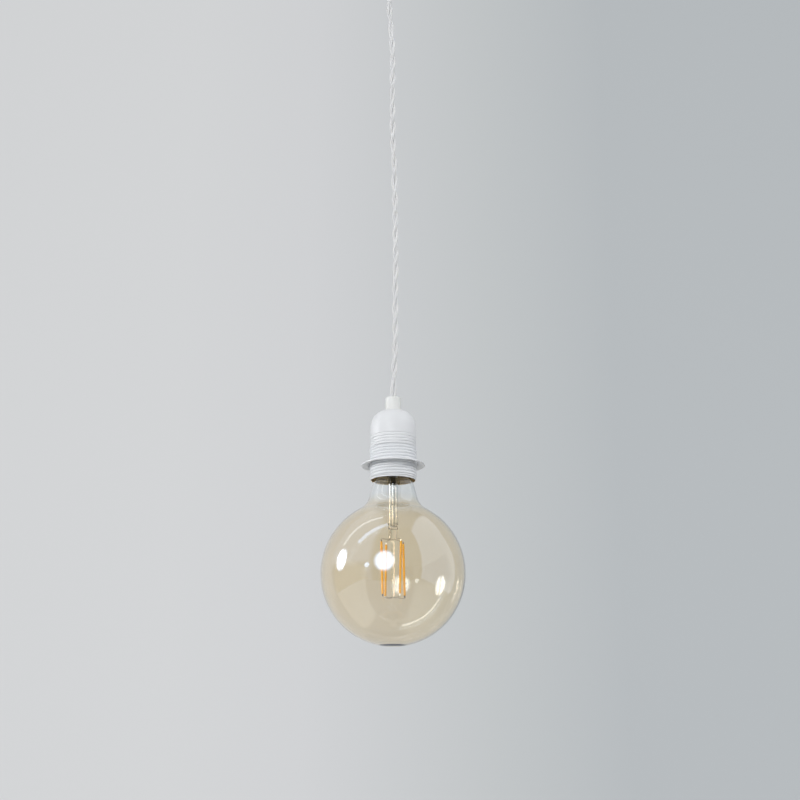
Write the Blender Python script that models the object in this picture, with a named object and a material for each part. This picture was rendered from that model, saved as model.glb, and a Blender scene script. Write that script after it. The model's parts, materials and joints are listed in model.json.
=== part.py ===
"""Pendant light: ceiling cup, twisted fabric cord, threaded lamp holder and globe bulb.

Metres, +Z up. The origin is the middle of the mounting bracket's top face, in the ceiling
plane, and everything hangs below it along the Z axis. The front of the lamp faces -Y.
"""
import math

import bmesh
import bpy
from mathutils import Matrix, Vector

# Fits
GAP = 0.0003

# Ceiling cup
CUP_RADIUS = 0.050
CUP_HEIGHT = 0.026
CUP_WALL = 0.0010
CUP_EDGE = 0.006

# Mounting bracket and its side screws
STRAP_WIDTH = 0.020
STRAP_THICKNESS = 0.0015
STRAP_BEND = 0.0030
TAB_LENGTH = 0.016
SLOT_WIDTH = 0.0045
SLOT_LENGTH = 0.010
SLOT_INSET = 0.013
SIDE_SCREW_RADIUS = 0.0020
SIDE_SCREW_DROP = 0.009
SIDE_SCREW_REACH = 0.003
SIDE_SCREW_HEAD_RADIUS = 0.0036
SIDE_SCREW_HEAD_HEIGHT = 0.0022

# Threaded nipples, nuts and cord grips, alike at both ends of the cord
NIPPLE_RADIUS = 0.0050
NIPPLE_BORE = 0.0038
NIPPLE_RISE = 0.0015
NUT_ACROSS_FLATS = 0.014
NUT_HEIGHT = 0.0030
WASHER_RADIUS = 0.0090
WASHER_THICKNESS = 0.0010
GRIP_RADIUS = 0.0070
GRIP_LENGTH = 0.0120
GRIP_SOCKET = 0.0060
GRIP_BORE = 0.0033
GRIP_CHAMFER = 0.0006
GRUB_RADIUS = 0.0015
GRUB_INSET = 0.0030
GRUB_TIP = 0.0018

# Terminal block under the bracket
BLOCK_WIDTH = 0.016
BLOCK_LENGTH = 0.022
BLOCK_HEIGHT = 0.012
BLOCK_SLOT_MARGIN = 0.0057
BLOCK_POLE = 0.0060
BARREL_RADIUS = 0.0022
BARREL_BORE = 0.0013
BARREL_INSET = 0.0008
CLAMP_SCREW_RADIUS = 0.0010
CLAMP_SCREW_SPACING = 0.0075
CLAMP_SCREW_WELL = 0.0020
BLOCK_SCREW_RADIUS = 0.0012
BLOCK_SCREW_HEAD_RADIUS = 0.0024
BLOCK_SCREW_HEAD_HEIGHT = 0.0014

# Cord: a twisted pair, modelled as a tube of its outer diameter
CORD_DIAMETER = 0.0059
CORD_RUN = 0.460
CORD_STEP = 0.0148
STRAND_RADIUS = 0.0014
STRAND_SPREAD = 0.0015
BARE_WIRE_RADIUS = 0.0007
BARE_WIRE_LENGTH = 0.004
LEAD_STEP = 0.0028
# Bends of a lead between the grip and its terminal, as shares of the whole way
SUPPLY_LEAD_LOW = (0.9, 0.2, 0.3)
SUPPLY_LEAD_HIGH = (0.2, 0.65, 0.8)
HOLDER_LEAD_HIGH = (0.02, 0.25, 0.25)
HOLDER_LEAD_LOW = (0.18, 0.75, 0.70)
HOLDER_LEAD_TURN = (0.50, 1.00, 0.95)
# Sideways and forward sway of the cord at even steps from the upper grip to the lower one
CORD_SWAY = (
    (0.0, 0.0), (-0.0009, 0.0002), (-0.0029, 0.0005), (-0.0042, 0.0008), (-0.0033, 0.0010),
    (-0.0019, 0.0009), (-0.0010, 0.0005), (-0.0008, 0.0001), (-0.0012, -0.0003), (-0.0010, -0.0006),
    (-0.0009, -0.0007), (-0.0005, -0.0006), (0.0006, -0.0003), (0.0009, 0.0001), (0.0014, 0.0005),
    (0.0017, 0.0007), (0.0019, 0.0008), (0.0021, 0.0007), (0.0018, 0.0004), (0.0018, 0.0001),
    (0.0019, -0.0002), (0.0018, -0.0003), (0.0015, -0.0002), (0.0005, -0.0001), (0.0, 0.0),
)

# Lamp holder
DOME_RADIUS = 0.0202
DOME_HEIGHT = 0.0335
DOME_WALL = 0.0010
SHOULDER_WIDTH = 0.0130
SHOULDER_HEIGHT = 0.0155
COLLAR_LENGTH = 0.0065
SHELL_WALL = 0.0009
SHELL_LENGTH = 0.0292
THREAD_CREST = 0.0207
THREAD_DEPTH = 0.0007
THREAD_PITCH = 0.0026
THREAD_MARGIN = 0.0012
RING_DROP = 0.0157
RING_RADIUS = 0.0279
RING_THICKNESS = 0.0012
RING_DISH = 0.0019
RING_LUGS = 8
RING_LUG_DEPTH = 0.0005
RING_LUG_ANGLE = math.radians(14)
RING_LUG_TAPER = math.radians(1)

# Insert and its metal parts
INSERT_FLANGE = 0.0025
INSERT_RISE = 0.0072
INSERT_DROP = 0.0029
INSERT_TOP_MARGIN = 0.0033
SCREW_HOLE_PLAY = 0.0003
RIVET_RADIUS = 0.0012
CONTACT_RADIUS = 0.0040
CONTACT_THICKNESS = 0.0008
LINK_WIDTH = 0.0040
LINK_THICKNESS = 0.0008
TERMINAL_WIDTH = 0.0055
TERMINAL_LENGTH = 0.0090
TERMINAL_HEIGHT = 0.0050
TERMINAL_OFFSET = 0.0095
TERMINAL_SCREW_SPACING = 0.0022
WIRE_HOLE_RADIUS = 0.0011
SMALL_SCREW_RADIUS = 0.0012
SMALL_HEAD_RADIUS = 0.0021
SMALL_HEAD_HEIGHT = 0.0012
SCREW_BITE = 0.0018
SHORT_SCREW_REACH = 0.0060
CONTACT_OPENING = 0.0062

# Screw cap of the bulb and the brass shell around it
CAP_CREST = 0.0131
CAP_THREAD_DEPTH = 0.00105
CAP_PITCH = 0.00363
CAP_TURNS = 4
CAP_SHEET = 0.0004
CAP_SKIRT_RADIUS = 0.0134
CAP_SKIRT_LENGTH = 0.0040
CAP_CONTACT_RADIUS = 0.0046
CAP_CONTACT_HEIGHT = 0.0018
CAP_INSULATOR_HEIGHT = 0.0033
SCREW_SHELL_SHEET = 0.0005
SCREW_SHELL_LIP = 0.0020

# Bulb
GLOBE_RADIUS = 0.0625
GLASS_WALL = 0.0009
BULB_NECK = 0.0507
NECK_ANGLE = math.radians(29.5)
NECK_BASE_RISE = 0.0030
NECK_BASE_RADIUS = 0.0213
NECK_WAIST_RADIUS = 0.0179
NECK_WAIST_SHARE = 0.57
NECK_SHOULDER_OUT = 0.0004
NECK_SHOULDER_DROP = 0.0008
NECK_SEAT_RISE = 0.0004
STEM_RADIUS = 0.0044
STEM_WALL = 0.0007
STEM_FLARE_LENGTH = 0.010
EXHAUST_RADIUS = 0.0015
EXHAUST_WALL = 0.0005
PRESS_LENGTH = 0.0098
PRESS_HALF_WIDTH = 0.0046
PRESS_HALF_DEPTH = 0.0022
PRESS_OVERLAP = 0.0014
WIRE_RADIUS = 0.0003
LEAD_IN_OFFSET = 0.0030
SUPPORT_ROD_RADIUS = 0.0013
LINK_BYPASS = 0.0020
LINK_APEX = 0.00065

# Filaments
FILAMENT_LENGTH = 0.0452
FILAMENT_RADIUS = 0.00095
FILAMENT_CENTRE_HEIGHT = 0.0038
FILAMENT_CIRCLE = 0.0114
FILAMENT_TURN = math.radians(34.2)
TAB_RADIUS = 0.00035
TAB_REACH = 0.0018
# Sideways lean of each filament's lower end, going round from the back right
FILAMENT_LEANS = (0.0013, -0.0007, 0.0013, -0.0009)

# Driver inside the cap
BOARD_HALF_WIDTH = 0.0065
BOARD_THICKNESS = 0.0010
BOARD_HEIGHT = 0.0085
BOARD_TOP_MARGIN = 0.0015
CAPACITOR_RADIUS = 0.0022
CAPACITOR_LENGTH = 0.0060

# Number of sides of turned pieces
ROUND_LARGE = 32
ROUND_GLOBE = 32
ROUND_HOLDER = 28
ROUND_GRIP = 24
ROUND_CAP = 20
ROUND_SMALL = 16
ROUND_TINY = 10
ROUND_STRIP = 8

# Steps along arcs and curves
BEND_STEPS = 4
SLOT_STEPS = 6
EDGE_STEPS = 5
SHOULDER_STEPS = 7
GLOBE_STEPS = 10
FILLET_STEPS = 4
CURVE_STEPS = 16
SMOOTH_ANGLE = math.radians(32)
WELD_DISTANCE = 1e-7

# Colours used more than once
LIVE_BROWN = (0.35, 0.20, 0.12)
NEUTRAL_BLUE = (0.15, 0.28, 0.60)
PHOSPHOR_ORANGE = (0.85, 0.45, 0.06)

# Heights that follow from the sizes above
CUP_UNDERSIDE = -CUP_HEIGHT
UPPER_GRIP_TOP = CUP_UNDERSIDE - GAP
UPPER_GRIP_END = UPPER_GRIP_TOP - GRIP_LENGTH
LOWER_GRIP_END = UPPER_GRIP_END - CORD_RUN
HOLDER_TOP = LOWER_GRIP_END - GRIP_LENGTH - GAP
SEAM = HOLDER_TOP - DOME_HEIGHT
COLLAR_TOP = SEAM + COLLAR_LENGTH
SHELL_STEP = SEAM - GAP
SHELL_RIM = SEAM - SHELL_LENGTH - GAP
RING_PLANE = SEAM - RING_DROP
FLANGE_BOTTOM = COLLAR_TOP + GAP
FLANGE_TOP = FLANGE_BOTTOM + INSERT_FLANGE
INSERT_TOP = FLANGE_TOP + INSERT_RISE
INSERT_BOTTOM = FLANGE_BOTTOM - INSERT_DROP
PLATE_TOP = INSERT_BOTTOM - GAP
CONTACT_FACE = INSERT_BOTTOM - GAP - CONTACT_THICKNESS
TIP_TOP = CONTACT_FACE - GAP
CAP_INSULATOR_TOP = TIP_TOP - CAP_CONTACT_HEIGHT - GAP
CAP_INSULATOR_BOTTOM = CAP_INSULATOR_TOP - CAP_INSULATOR_HEIGHT
CAP_TOP = CAP_INSULATOR_BOTTOM - GAP
CAP_THREAD_END = CAP_TOP - CAP_TURNS * CAP_PITCH
CAP_BOTTOM = CAP_THREAD_END - (CAP_SKIRT_RADIUS - CAP_CREST + CAP_THREAD_DEPTH) - CAP_SKIRT_LENGTH
GLOBE_CENTRE = TIP_TOP - BULB_NECK - GLOBE_RADIUS
NECK_END = CAP_BOTTOM + CAP_SKIRT_LENGTH - GAP
NECK_BASE = GLOBE_CENTRE + GLOBE_RADIUS + NECK_BASE_RISE
NECK_WAIST = NECK_BASE + NECK_WAIST_SHARE * (CAP_BOTTOM - NECK_BASE)
FILAMENT_TOP = GLOBE_CENTRE + FILAMENT_CENTRE_HEIGHT + FILAMENT_LENGTH / 2
FILAMENT_BOTTOM = FILAMENT_TOP - FILAMENT_LENGTH
TOP_WIRE_HEIGHT = FILAMENT_TOP + TAB_REACH + GAP + WIRE_RADIUS
BOTTOM_WIRE_HEIGHT = FILAMENT_BOTTOM - TAB_REACH - GAP - WIRE_RADIUS
PRESS_BOTTOM = TOP_WIRE_HEIGHT + WIRE_RADIUS + GAP
PRESS_TOP = PRESS_BOTTOM + PRESS_LENGTH
ROD_TOP = PRESS_BOTTOM - GAP
ROD_BOTTOM = BOTTOM_WIRE_HEIGHT + WIRE_RADIUS + GAP
BOARD_TOP = CAP_INSULATOR_BOTTOM - BOARD_TOP_MARGIN
BOARD_BOTTOM = BOARD_TOP - BOARD_HEIGHT

# Radii that follow from the sizes above
CAP_ROOT = CAP_CREST - CAP_THREAD_DEPTH
CAP_SKIRT_INNER = CAP_SKIRT_RADIUS - CAP_SHEET
NECK_SEAT_RADIUS = CAP_SKIRT_INNER - GAP
COLLAR_RADIUS = DOME_RADIUS - DOME_WALL - GAP
COLLAR_INNER = COLLAR_RADIUS - SHELL_WALL
THREAD_ROOT = THREAD_CREST - THREAD_DEPTH
SHELL_INNER = THREAD_ROOT - SHELL_WALL
RING_INNER = THREAD_CREST + GAP + RING_LUG_DEPTH
INSERT_TOP_RADIUS = COLLAR_RADIUS - INSERT_TOP_MARGIN
TAB_OUTSIDE = math.sqrt((CUP_RADIUS - CUP_WALL - GAP) ** 2 - (STRAP_WIDTH / 2) ** 2)
BLOCK_OFFSET = TAB_OUTSIDE - SLOT_INSET - SLOT_LENGTH / 2 - BLOCK_SLOT_MARGIN
NIPPLE_HOLE = NIPPLE_RADIUS + GAP


def clear_scene():
    for old in list(bpy.data.objects):
        bpy.data.objects.remove(old, do_unlink=True)


def material(name, colour, roughness, metallic=0.0, transmission=0.0):
    """A plain surface of one colour."""
    surface = bpy.data.materials.new(name)
    surface.use_nodes = True
    shader = surface.node_tree.nodes["Principled BSDF"]
    shader.inputs["Base Color"].default_value = (*colour, 1.0)
    shader.inputs["Roughness"].default_value = roughness
    shader.inputs["Metallic"].default_value = metallic
    shader.inputs["Transmission Weight"].default_value = transmission
    return surface


def white_paint(name):
    return material(name, (0.80, 0.81, 0.83), 0.35)


def white_plastic(name):
    return material(name, (0.78, 0.79, 0.77), 0.45)


def steel(name):
    return material(name, (0.62, 0.62, 0.60), 0.35, metallic=1.0)


def brass(name):
    return material(name, (0.72, 0.55, 0.25), 0.30, metallic=1.0)


def wire_metal(name):
    return material(name + "_metal", (0.55, 0.53, 0.50), 0.3, metallic=1.0)


def clear_glass(name):
    return material(name, (0.95, 0.95, 0.92), 0.05, transmission=1.0)


def place(name, mesh, surface, location=(0.0, 0.0, 0.0), turn=None):
    """Put a mesh into the scene as one named piece."""
    piece = bpy.data.objects.new(name, mesh)
    bpy.context.collection.objects.link(piece)
    if turn is not None:
        piece.matrix_world = Matrix.Translation(location) @ turn
    else:
        piece.location = location
    piece.data.materials.append(surface)
    return piece


def finish_mesh(name, bm, smooth=True):
    """Close a bmesh into a mesh with its faces pointing out."""
    bmesh.ops.recalc_face_normals(bm, faces=bm.faces)
    mesh = bpy.data.meshes.new(name)
    bm.to_mesh(mesh)
    bm.free()
    if smooth:
        mesh.shade_smooth()
        mesh.set_sharp_from_angle(angle=SMOOTH_ANGLE)
    return mesh


def turned_mesh(name, profile, sides, closed=True):
    """Spin an outline of (radius, height) points round the Z axis."""
    bm = bmesh.new()
    verts = [bm.verts.new((radius, 0.0, height)) for radius, height in profile]
    edges = [bm.edges.new(pair) for pair in zip(verts, verts[1:])]
    if closed:
        edges.append(bm.edges.new((verts[-1], verts[0])))
    bmesh.ops.spin(bm, geom=verts + edges, cent=(0, 0, 0), axis=(0, 0, 1),
                   angle=2 * math.pi, steps=sides, use_merge=True)
    bmesh.ops.remove_doubles(bm, verts=bm.verts, dist=WELD_DISTANCE)
    return finish_mesh(name, bm)


def turned(name, profile, surface, sides=ROUND_HOLDER, closed=True, location=(0, 0, 0), turn=None):
    return place(name, turned_mesh(name, profile, sides, closed), surface, location, turn)


def extruded(name, outline, depth, surface, location=(0, 0, 0), turn=None):
    """Raise a flat outline of (x, y) points by depth, centred on its own plane."""
    bm = bmesh.new()
    face = bm.faces.new([bm.verts.new((x, y, -depth / 2)) for x, y in outline])
    raised = bmesh.ops.extrude_face_region(bm, geom=[face])
    top = [item for item in raised["geom"] if isinstance(item, bmesh.types.BMVert)]
    bmesh.ops.translate(bm, verts=top, vec=(0, 0, depth))
    return place(name, finish_mesh(name, bm, smooth=False), surface, location, turn)


def rectangle(width, length):
    return [(-width / 2, -length / 2), (width / 2, -length / 2),
            (width / 2, length / 2), (-width / 2, length / 2)]


def hexagon(across_flats):
    corner = across_flats / 2 / math.cos(math.pi / 6)
    return [(corner * math.cos(k * math.pi / 3), corner * math.sin(k * math.pi / 3)) for k in range(6)]


def arc(centre, radii, start, end, steps):
    """Points of an elliptical arc, with angles in degrees from the first axis."""
    points = []
    for k in range(steps + 1):
        angle = math.radians(start + (end - start) * k / steps)
        points.append((centre[0] + radii[0] * math.cos(angle), centre[1] + radii[1] * math.sin(angle)))
    return points


def zigzag(top, pitch, turns, crest, root):
    """A thread's outline from its top downwards, starting and ending at the root."""
    points = [(root, top)]
    for k in range(turns):
        points.append((crest, top - (k + 0.5) * pitch))
        points.append((root, top - (k + 1) * pitch))
    return points


def cut(piece, cutter):
    """Take a cutter's shape out of a piece."""
    cutter.hide_render = True
    cutter.display_type = "WIRE"
    modifier = piece.modifiers.new("cut", "BOOLEAN")
    modifier.operation = "DIFFERENCE"
    modifier.solver = "EXACT"
    modifier.object = cutter


def drill(piece, radius, start, end, sides=ROUND_TINY):
    """Drill a straight round hole between two points."""
    start = Vector(start)
    end = Vector(end)
    length = (end - start).length
    outline = [(0, -length / 2), (radius, -length / 2), (radius, length / 2), (0, length / 2)]
    turn = (end - start).to_track_quat("Z", "Y").to_matrix().to_4x4()
    surface = material("guide", (0.5, 0.5, 0.5), 0.5)
    cutter = turned(piece.name + "_drill", outline, surface, sides, closed=False,
                    location=(start + end) / 2, turn=turn)
    cut(piece, cutter)


def wire(name, points, radius, surface, radii=None, resolution=1):
    """A round wire or tube through the given points."""
    curve = bpy.data.curves.new(name, "CURVE")
    curve.dimensions = "3D"
    curve.bevel_depth = radius
    curve.bevel_resolution = resolution
    curve.use_fill_caps = True
    spline = curve.splines.new("POLY")
    spline.points.add(len(points) - 1)
    for k, point in enumerate(points):
        spline.points[k].co = (*point, 1.0)
        spline.points[k].radius = 1.0 if radii is None else radii[k]
    piece = bpy.data.objects.new(name, curve)
    bpy.context.collection.objects.link(piece)
    curve.materials.append(surface)
    return piece


def smooth_route(route, step):
    """Points at even steps on a smooth curve through a route's own points."""
    route = [Vector(point) for point in route]
    ends = [2 * route[0] - route[1]] + route + [2 * route[-1] - route[-2]]
    fine = []
    for before, start, end, after in zip(ends, ends[1:], ends[2:], ends[3:]):
        for k in range(CURVE_STEPS):
            t = k / CURVE_STEPS
            fine.append(0.5 * (2 * start + (end - before) * t
                               + (2 * before - 5 * start + 4 * end - after) * t * t
                               + (3 * start - before - 3 * end + after) * t ** 3))
    fine.append(route[-1])
    travelled = [0.0]
    for start, end in zip(fine, fine[1:]):
        travelled.append(travelled[-1] + (end - start).length)
    count = max(2, round(travelled[-1] / step))
    points = []
    place_in_fine = 0
    for k in range(count + 1):
        target = travelled[-1] * k / count
        while place_in_fine < len(fine) - 2 and travelled[place_in_fine + 1] < target:
            place_in_fine += 1
        span = travelled[place_in_fine + 1] - travelled[place_in_fine]
        share = (target - travelled[place_in_fine]) / span
        points.append(fine[place_in_fine].lerp(fine[place_in_fine + 1], share))
    return points


def screw_mesh(name, radius, length, head_radius, head_height, sides=ROUND_TINY):
    """A screw along +Z: the head's underside is at height zero and the shank rises from it."""
    edge = head_height / 4
    outline = [(0, -head_height), (head_radius - edge, -head_height), (head_radius, edge - head_height),
               (head_radius, 0), (radius, 0), (radius, length), (0, length)]
    return turned_mesh(name, outline, sides, closed=False)


def ceiling_bracket():
    """Flat strap against the ceiling, its two ends bent down into tabs."""
    inner_bend = STRAP_BEND - STRAP_THICKNESS
    bend_x = TAB_OUTSIDE - STRAP_BEND
    outline = [(-TAB_OUTSIDE, -TAB_LENGTH)]
    outline += arc((-bend_x, -STRAP_BEND), (STRAP_BEND, STRAP_BEND), 180, 90, BEND_STEPS)
    outline += arc((bend_x, -STRAP_BEND), (STRAP_BEND, STRAP_BEND), 90, 0, BEND_STEPS)
    outline += [(TAB_OUTSIDE, -TAB_LENGTH), (TAB_OUTSIDE - STRAP_THICKNESS, -TAB_LENGTH)]
    outline += arc((bend_x, -STRAP_BEND), (inner_bend, inner_bend), 0, 90, BEND_STEPS)
    outline += arc((-bend_x, -STRAP_BEND), (inner_bend, inner_bend), 90, 180, BEND_STEPS)
    outline += [(STRAP_THICKNESS - TAB_OUTSIDE, -TAB_LENGTH)]
    bracket = extruded("mounting_bracket", outline, STRAP_WIDTH, steel("bracket_steel"),
                       turn=Matrix.Rotation(math.pi / 2, 4, "X"))
    slot_centre = TAB_OUTSIDE - SLOT_INSET
    slot_half = (SLOT_LENGTH - SLOT_WIDTH) / 2
    for side in (-1, 1):
        outline = arc((slot_half, 0), (SLOT_WIDTH / 2, SLOT_WIDTH / 2), -90, 90, SLOT_STEPS)
        outline += arc((-slot_half, 0), (SLOT_WIDTH / 2, SLOT_WIDTH / 2), 90, 270, SLOT_STEPS)
        slot = extruded("slot_cutter", outline, 4 * STRAP_THICKNESS, steel("guide"),
                        location=(side * slot_centre, 0, 0))
        cut(bracket, slot)
    hole = SIDE_SCREW_RADIUS + SCREW_HOLE_PLAY
    drill(bracket, hole, (-CUP_RADIUS, 0, -SIDE_SCREW_DROP), (CUP_RADIUS, 0, -SIDE_SCREW_DROP))
    hole = BLOCK_SCREW_RADIUS + SCREW_HOLE_PLAY
    drill(bracket, hole, (-BLOCK_OFFSET, 0, -2 * STRAP_THICKNESS), (-BLOCK_OFFSET, 0, STRAP_THICKNESS))
    return bracket


def ceiling_cup():
    """Thin round cup, open at the ceiling, with a centre hole and two side holes."""
    corner = (CUP_RADIUS - CUP_EDGE, CUP_EDGE - CUP_HEIGHT)
    inner_edge = CUP_EDGE - CUP_WALL
    outline = [(CUP_RADIUS, 0)]
    outline += arc(corner, (CUP_EDGE, CUP_EDGE), 0, -90, EDGE_STEPS)
    outline += [(NIPPLE_HOLE, -CUP_HEIGHT), (NIPPLE_HOLE, CUP_WALL - CUP_HEIGHT)]
    outline += arc(corner, (inner_edge, inner_edge), -90, 0, EDGE_STEPS)
    outline += [(CUP_RADIUS - CUP_WALL, 0)]
    cup = turned("ceiling_cup", outline, white_paint("cup_paint"), ROUND_LARGE)
    reach = CUP_RADIUS + CUP_EDGE
    hole = SIDE_SCREW_RADIUS + SCREW_HOLE_PLAY
    drill(cup, hole, (-reach, 0, -SIDE_SCREW_DROP), (reach, 0, -SIDE_SCREW_DROP))
    return cup


def side_screws():
    """The two screws that go through the cup's wall into the tabs."""
    length = CUP_RADIUS + GAP - (TAB_OUTSIDE - STRAP_THICKNESS) + SIDE_SCREW_REACH
    mesh = screw_mesh("side_screw", SIDE_SCREW_RADIUS, length, SIDE_SCREW_HEAD_RADIUS, SIDE_SCREW_HEAD_HEIGHT,
                      ROUND_SMALL)
    for name, side in (("side_screw_left", -1), ("side_screw_right", 1)):
        turn = Matrix.Rotation(-side * math.pi / 2, 4, "Y")
        location = (side * (CUP_RADIUS + GAP), 0, -SIDE_SCREW_DROP)
        place(name, mesh.copy(), steel(name + "_steel"), location, turn)


def nipple(name, top, bottom):
    """Threaded tube that joins a cord grip to a sheet-metal cover."""
    outline = [(NIPPLE_RADIUS, top), (NIPPLE_RADIUS, bottom), (NIPPLE_BORE, bottom), (NIPPLE_BORE, top)]
    turned(name, outline, steel(name + "_steel"), ROUND_SMALL)


def hexagon_nut(name, centre_height):
    nut = extruded(name, hexagon(NUT_ACROSS_FLATS), NUT_HEIGHT, steel(name + "_steel"),
                   location=(0, 0, centre_height))
    ends = [(0, 0, centre_height - NUT_HEIGHT), (0, 0, centre_height + NUT_HEIGHT)]
    drill(nut, NIPPLE_HOLE, *ends, ROUND_SMALL)


def cord_grip(name, base, upside_down):
    """Plastic sleeve that clamps the cord: base is the height of its end with the nipple's socket."""
    outline = [(GRIP_RADIUS, 0), (GRIP_RADIUS, GRIP_LENGTH - GRIP_CHAMFER),
               (GRIP_RADIUS - GRIP_CHAMFER, GRIP_LENGTH), (GRIP_BORE, GRIP_LENGTH), (GRIP_BORE, GRIP_SOCKET),
               (NIPPLE_HOLE, GRIP_SOCKET), (NIPPLE_HOLE, 0)]
    turn = Matrix.Rotation(math.pi, 4, "X") if upside_down else Matrix.Identity(4)
    grip = turned(name, outline, white_plastic(name + "_plastic"), ROUND_GRIP,
                  location=(0, 0, base), turn=turn)
    height = base + (GRIP_LENGTH - GRUB_INSET) * (-1 if upside_down else 1)
    drill(grip, GRUB_RADIUS + SCREW_HOLE_PLAY, (0, 0, height), (0, 2 * GRIP_RADIUS, height))
    return height


def grub_screw(name, height):
    """Headless screw in the back of a grip, pressing on the cord's strands."""
    length = GRIP_RADIUS - GAP - GRUB_TIP
    outline = [(0, 0), (GRUB_RADIUS, 0), (GRUB_RADIUS, length), (0, length)]
    turned(name, outline, steel(name + "_steel"), ROUND_TINY, closed=False, location=(0, GRUB_TIP, height),
           turn=Matrix.Rotation(-math.pi / 2, 4, "X"))


def cup_fittings():
    """Nipple, washer, nut and cord grip at the middle of the cup."""
    floor = CUP_UNDERSIDE + CUP_WALL
    washer_bottom = floor + GAP
    nut_bottom = washer_bottom + WASHER_THICKNESS + GAP
    nipple_top = nut_bottom + NUT_HEIGHT + NIPPLE_RISE
    nipple("cup_nipple", nipple_top, UPPER_GRIP_TOP - GRIP_SOCKET + GAP)
    outline = [(WASHER_RADIUS, washer_bottom), (WASHER_RADIUS, washer_bottom + WASHER_THICKNESS),
               (NIPPLE_HOLE, washer_bottom + WASHER_THICKNESS), (NIPPLE_HOLE, washer_bottom)]
    turned("cup_washer", outline, steel("cup_washer_steel"), ROUND_SMALL)
    hexagon_nut("cup_nut", nut_bottom + NUT_HEIGHT / 2)
    grub_height = cord_grip("upper_cord_grip", UPPER_GRIP_TOP, upside_down=True)
    grub_screw("upper_grip_screw", grub_height)
    return nipple_top


def terminal_block():
    """Two-pole block under the bracket, with its barrels and screws."""
    top = -STRAP_THICKNESS - GAP
    middle = top - BLOCK_HEIGHT / 2
    bottom = top - BLOCK_HEIGHT
    block = extruded("terminal_block", rectangle(BLOCK_WIDTH, BLOCK_LENGTH), BLOCK_HEIGHT,
                     white_plastic("block_plastic"), location=(-BLOCK_OFFSET, 0, middle))
    hole = BLOCK_SCREW_RADIUS + SCREW_HOLE_PLAY
    drill(block, hole, (-BLOCK_OFFSET, 0, bottom - GAP), (-BLOCK_OFFSET, 0, 0))
    head_radius = CLAMP_SCREW_WELL - GAP
    head_top = middle - BARREL_RADIUS - GAP
    tip = middle - BARE_WIRE_RADIUS - GAP
    outline = [(0, bottom + BARREL_INSET), (head_radius, bottom + BARREL_INSET), (head_radius, head_top),
               (CLAMP_SCREW_RADIUS, head_top), (CLAMP_SCREW_RADIUS, tip), (0, tip)]
    clamp_mesh = turned_mesh("clamp_screw", outline, ROUND_TINY, closed=False)
    barrel_half = BLOCK_WIDTH / 2 - BARREL_INSET
    for pole, side in enumerate((-1, 1), start=1):
        y = side * BLOCK_POLE
        ends = [(-BLOCK_OFFSET - BLOCK_WIDTH, y, middle), (-BLOCK_OFFSET + BLOCK_WIDTH, y, middle)]
        drill(block, BARREL_RADIUS + GAP, *ends)
        outline = [(BARREL_RADIUS, -barrel_half), (BARREL_RADIUS, barrel_half),
                   (BARREL_BORE, barrel_half), (BARREL_BORE, -barrel_half)]
        name = f"terminal_barrel_{pole}"
        barrel = turned(name, outline, brass(name + "_brass"), ROUND_SMALL,
                        location=(-BLOCK_OFFSET, y, middle), turn=Matrix.Rotation(math.pi / 2, 4, "Y"))
        for number, along in enumerate((-1, 1), start=2 * pole - 1):
            x = -BLOCK_OFFSET + along * CLAMP_SCREW_SPACING / 2
            drill(block, CLAMP_SCREW_WELL, (x, y, bottom - GAP), (x, y, middle))
            drill(barrel, CLAMP_SCREW_RADIUS + GAP, (x, y, bottom), (x, y, middle))
            name = f"clamp_screw_{number}"
            place(name, clamp_mesh.copy(), steel(name + "_steel"), (x, y, 0))
    reach = bottom - GAP
    mesh = screw_mesh("block_fixing_screw", BLOCK_SCREW_RADIUS, -GAP - reach, BLOCK_SCREW_HEAD_RADIUS,
                      BLOCK_SCREW_HEAD_HEIGHT)
    place("block_fixing_screw", mesh, steel("block_screw_steel"), (-BLOCK_OFFSET, 0, reach))
    return middle


def lead(name, route, colour):
    """A strand's end: insulated along the route, and bare over its last millimetres."""
    route = [Vector(point) for point in route]
    heading = (route[-1] - route[-2]).normalized()
    covered = smooth_route(route[:-1] + [route[-1] - heading * BARE_WIRE_LENGTH], LEAD_STEP)
    bare_start = covered[-1] + heading * GAP
    points = covered + [bare_start, route[-1]]
    bare = BARE_WIRE_RADIUS / STRAND_RADIUS
    radii = [1.0] * len(covered) + [bare, bare]
    wire(name, points, STRAND_RADIUS, material(name + "_cover", colour, 0.6), radii)


def supply_leads(nipple_top, port_height):
    """The strands inside the cup, from the upper grip to the terminal block."""
    start = UPPER_GRIP_END + GAP
    port_x = BLOCK_WIDTH / 2 - BLOCK_OFFSET
    barrel_x = port_x - BARREL_INSET
    rise = port_height - nipple_top
    low, high = SUPPLY_LEAD_LOW, SUPPLY_LEAD_HIGH
    for pole, side, colour in (("live", -1, LIVE_BROWN), ("neutral", 1, NEUTRAL_BLUE)):
        x = side * STRAND_SPREAD
        y = side * BLOCK_POLE
        route = [(x, 0, start), (x, 0, nipple_top),
                 (x * low[0], y * low[1], nipple_top + rise * low[2]),
                 (x * high[0] + barrel_x * high[0], y * high[1], nipple_top + rise * high[2]),
                 (barrel_x / 2, y, port_height),
                 (barrel_x + GAP + BARE_WIRE_LENGTH / 2, y, port_height),
                 (barrel_x + GAP - BARE_WIRE_LENGTH, y, port_height)]
        lead("supply_lead_" + pole, route, colour)


def cord():
    """The twisted cord as one plain tube between the two grips."""
    top = UPPER_GRIP_END - GAP
    bottom = LOWER_GRIP_END + GAP
    route = []
    for k, (sideways, forward) in enumerate(CORD_SWAY):
        route.append((sideways, forward, top + (bottom - top) * k / (len(CORD_SWAY) - 1)))
    surface = material("cord_fabric", (0.75, 0.74, 0.70), 0.9)
    wire("cord", smooth_route(route, CORD_STEP), CORD_DIAMETER / 2, surface, resolution=2)


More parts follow.
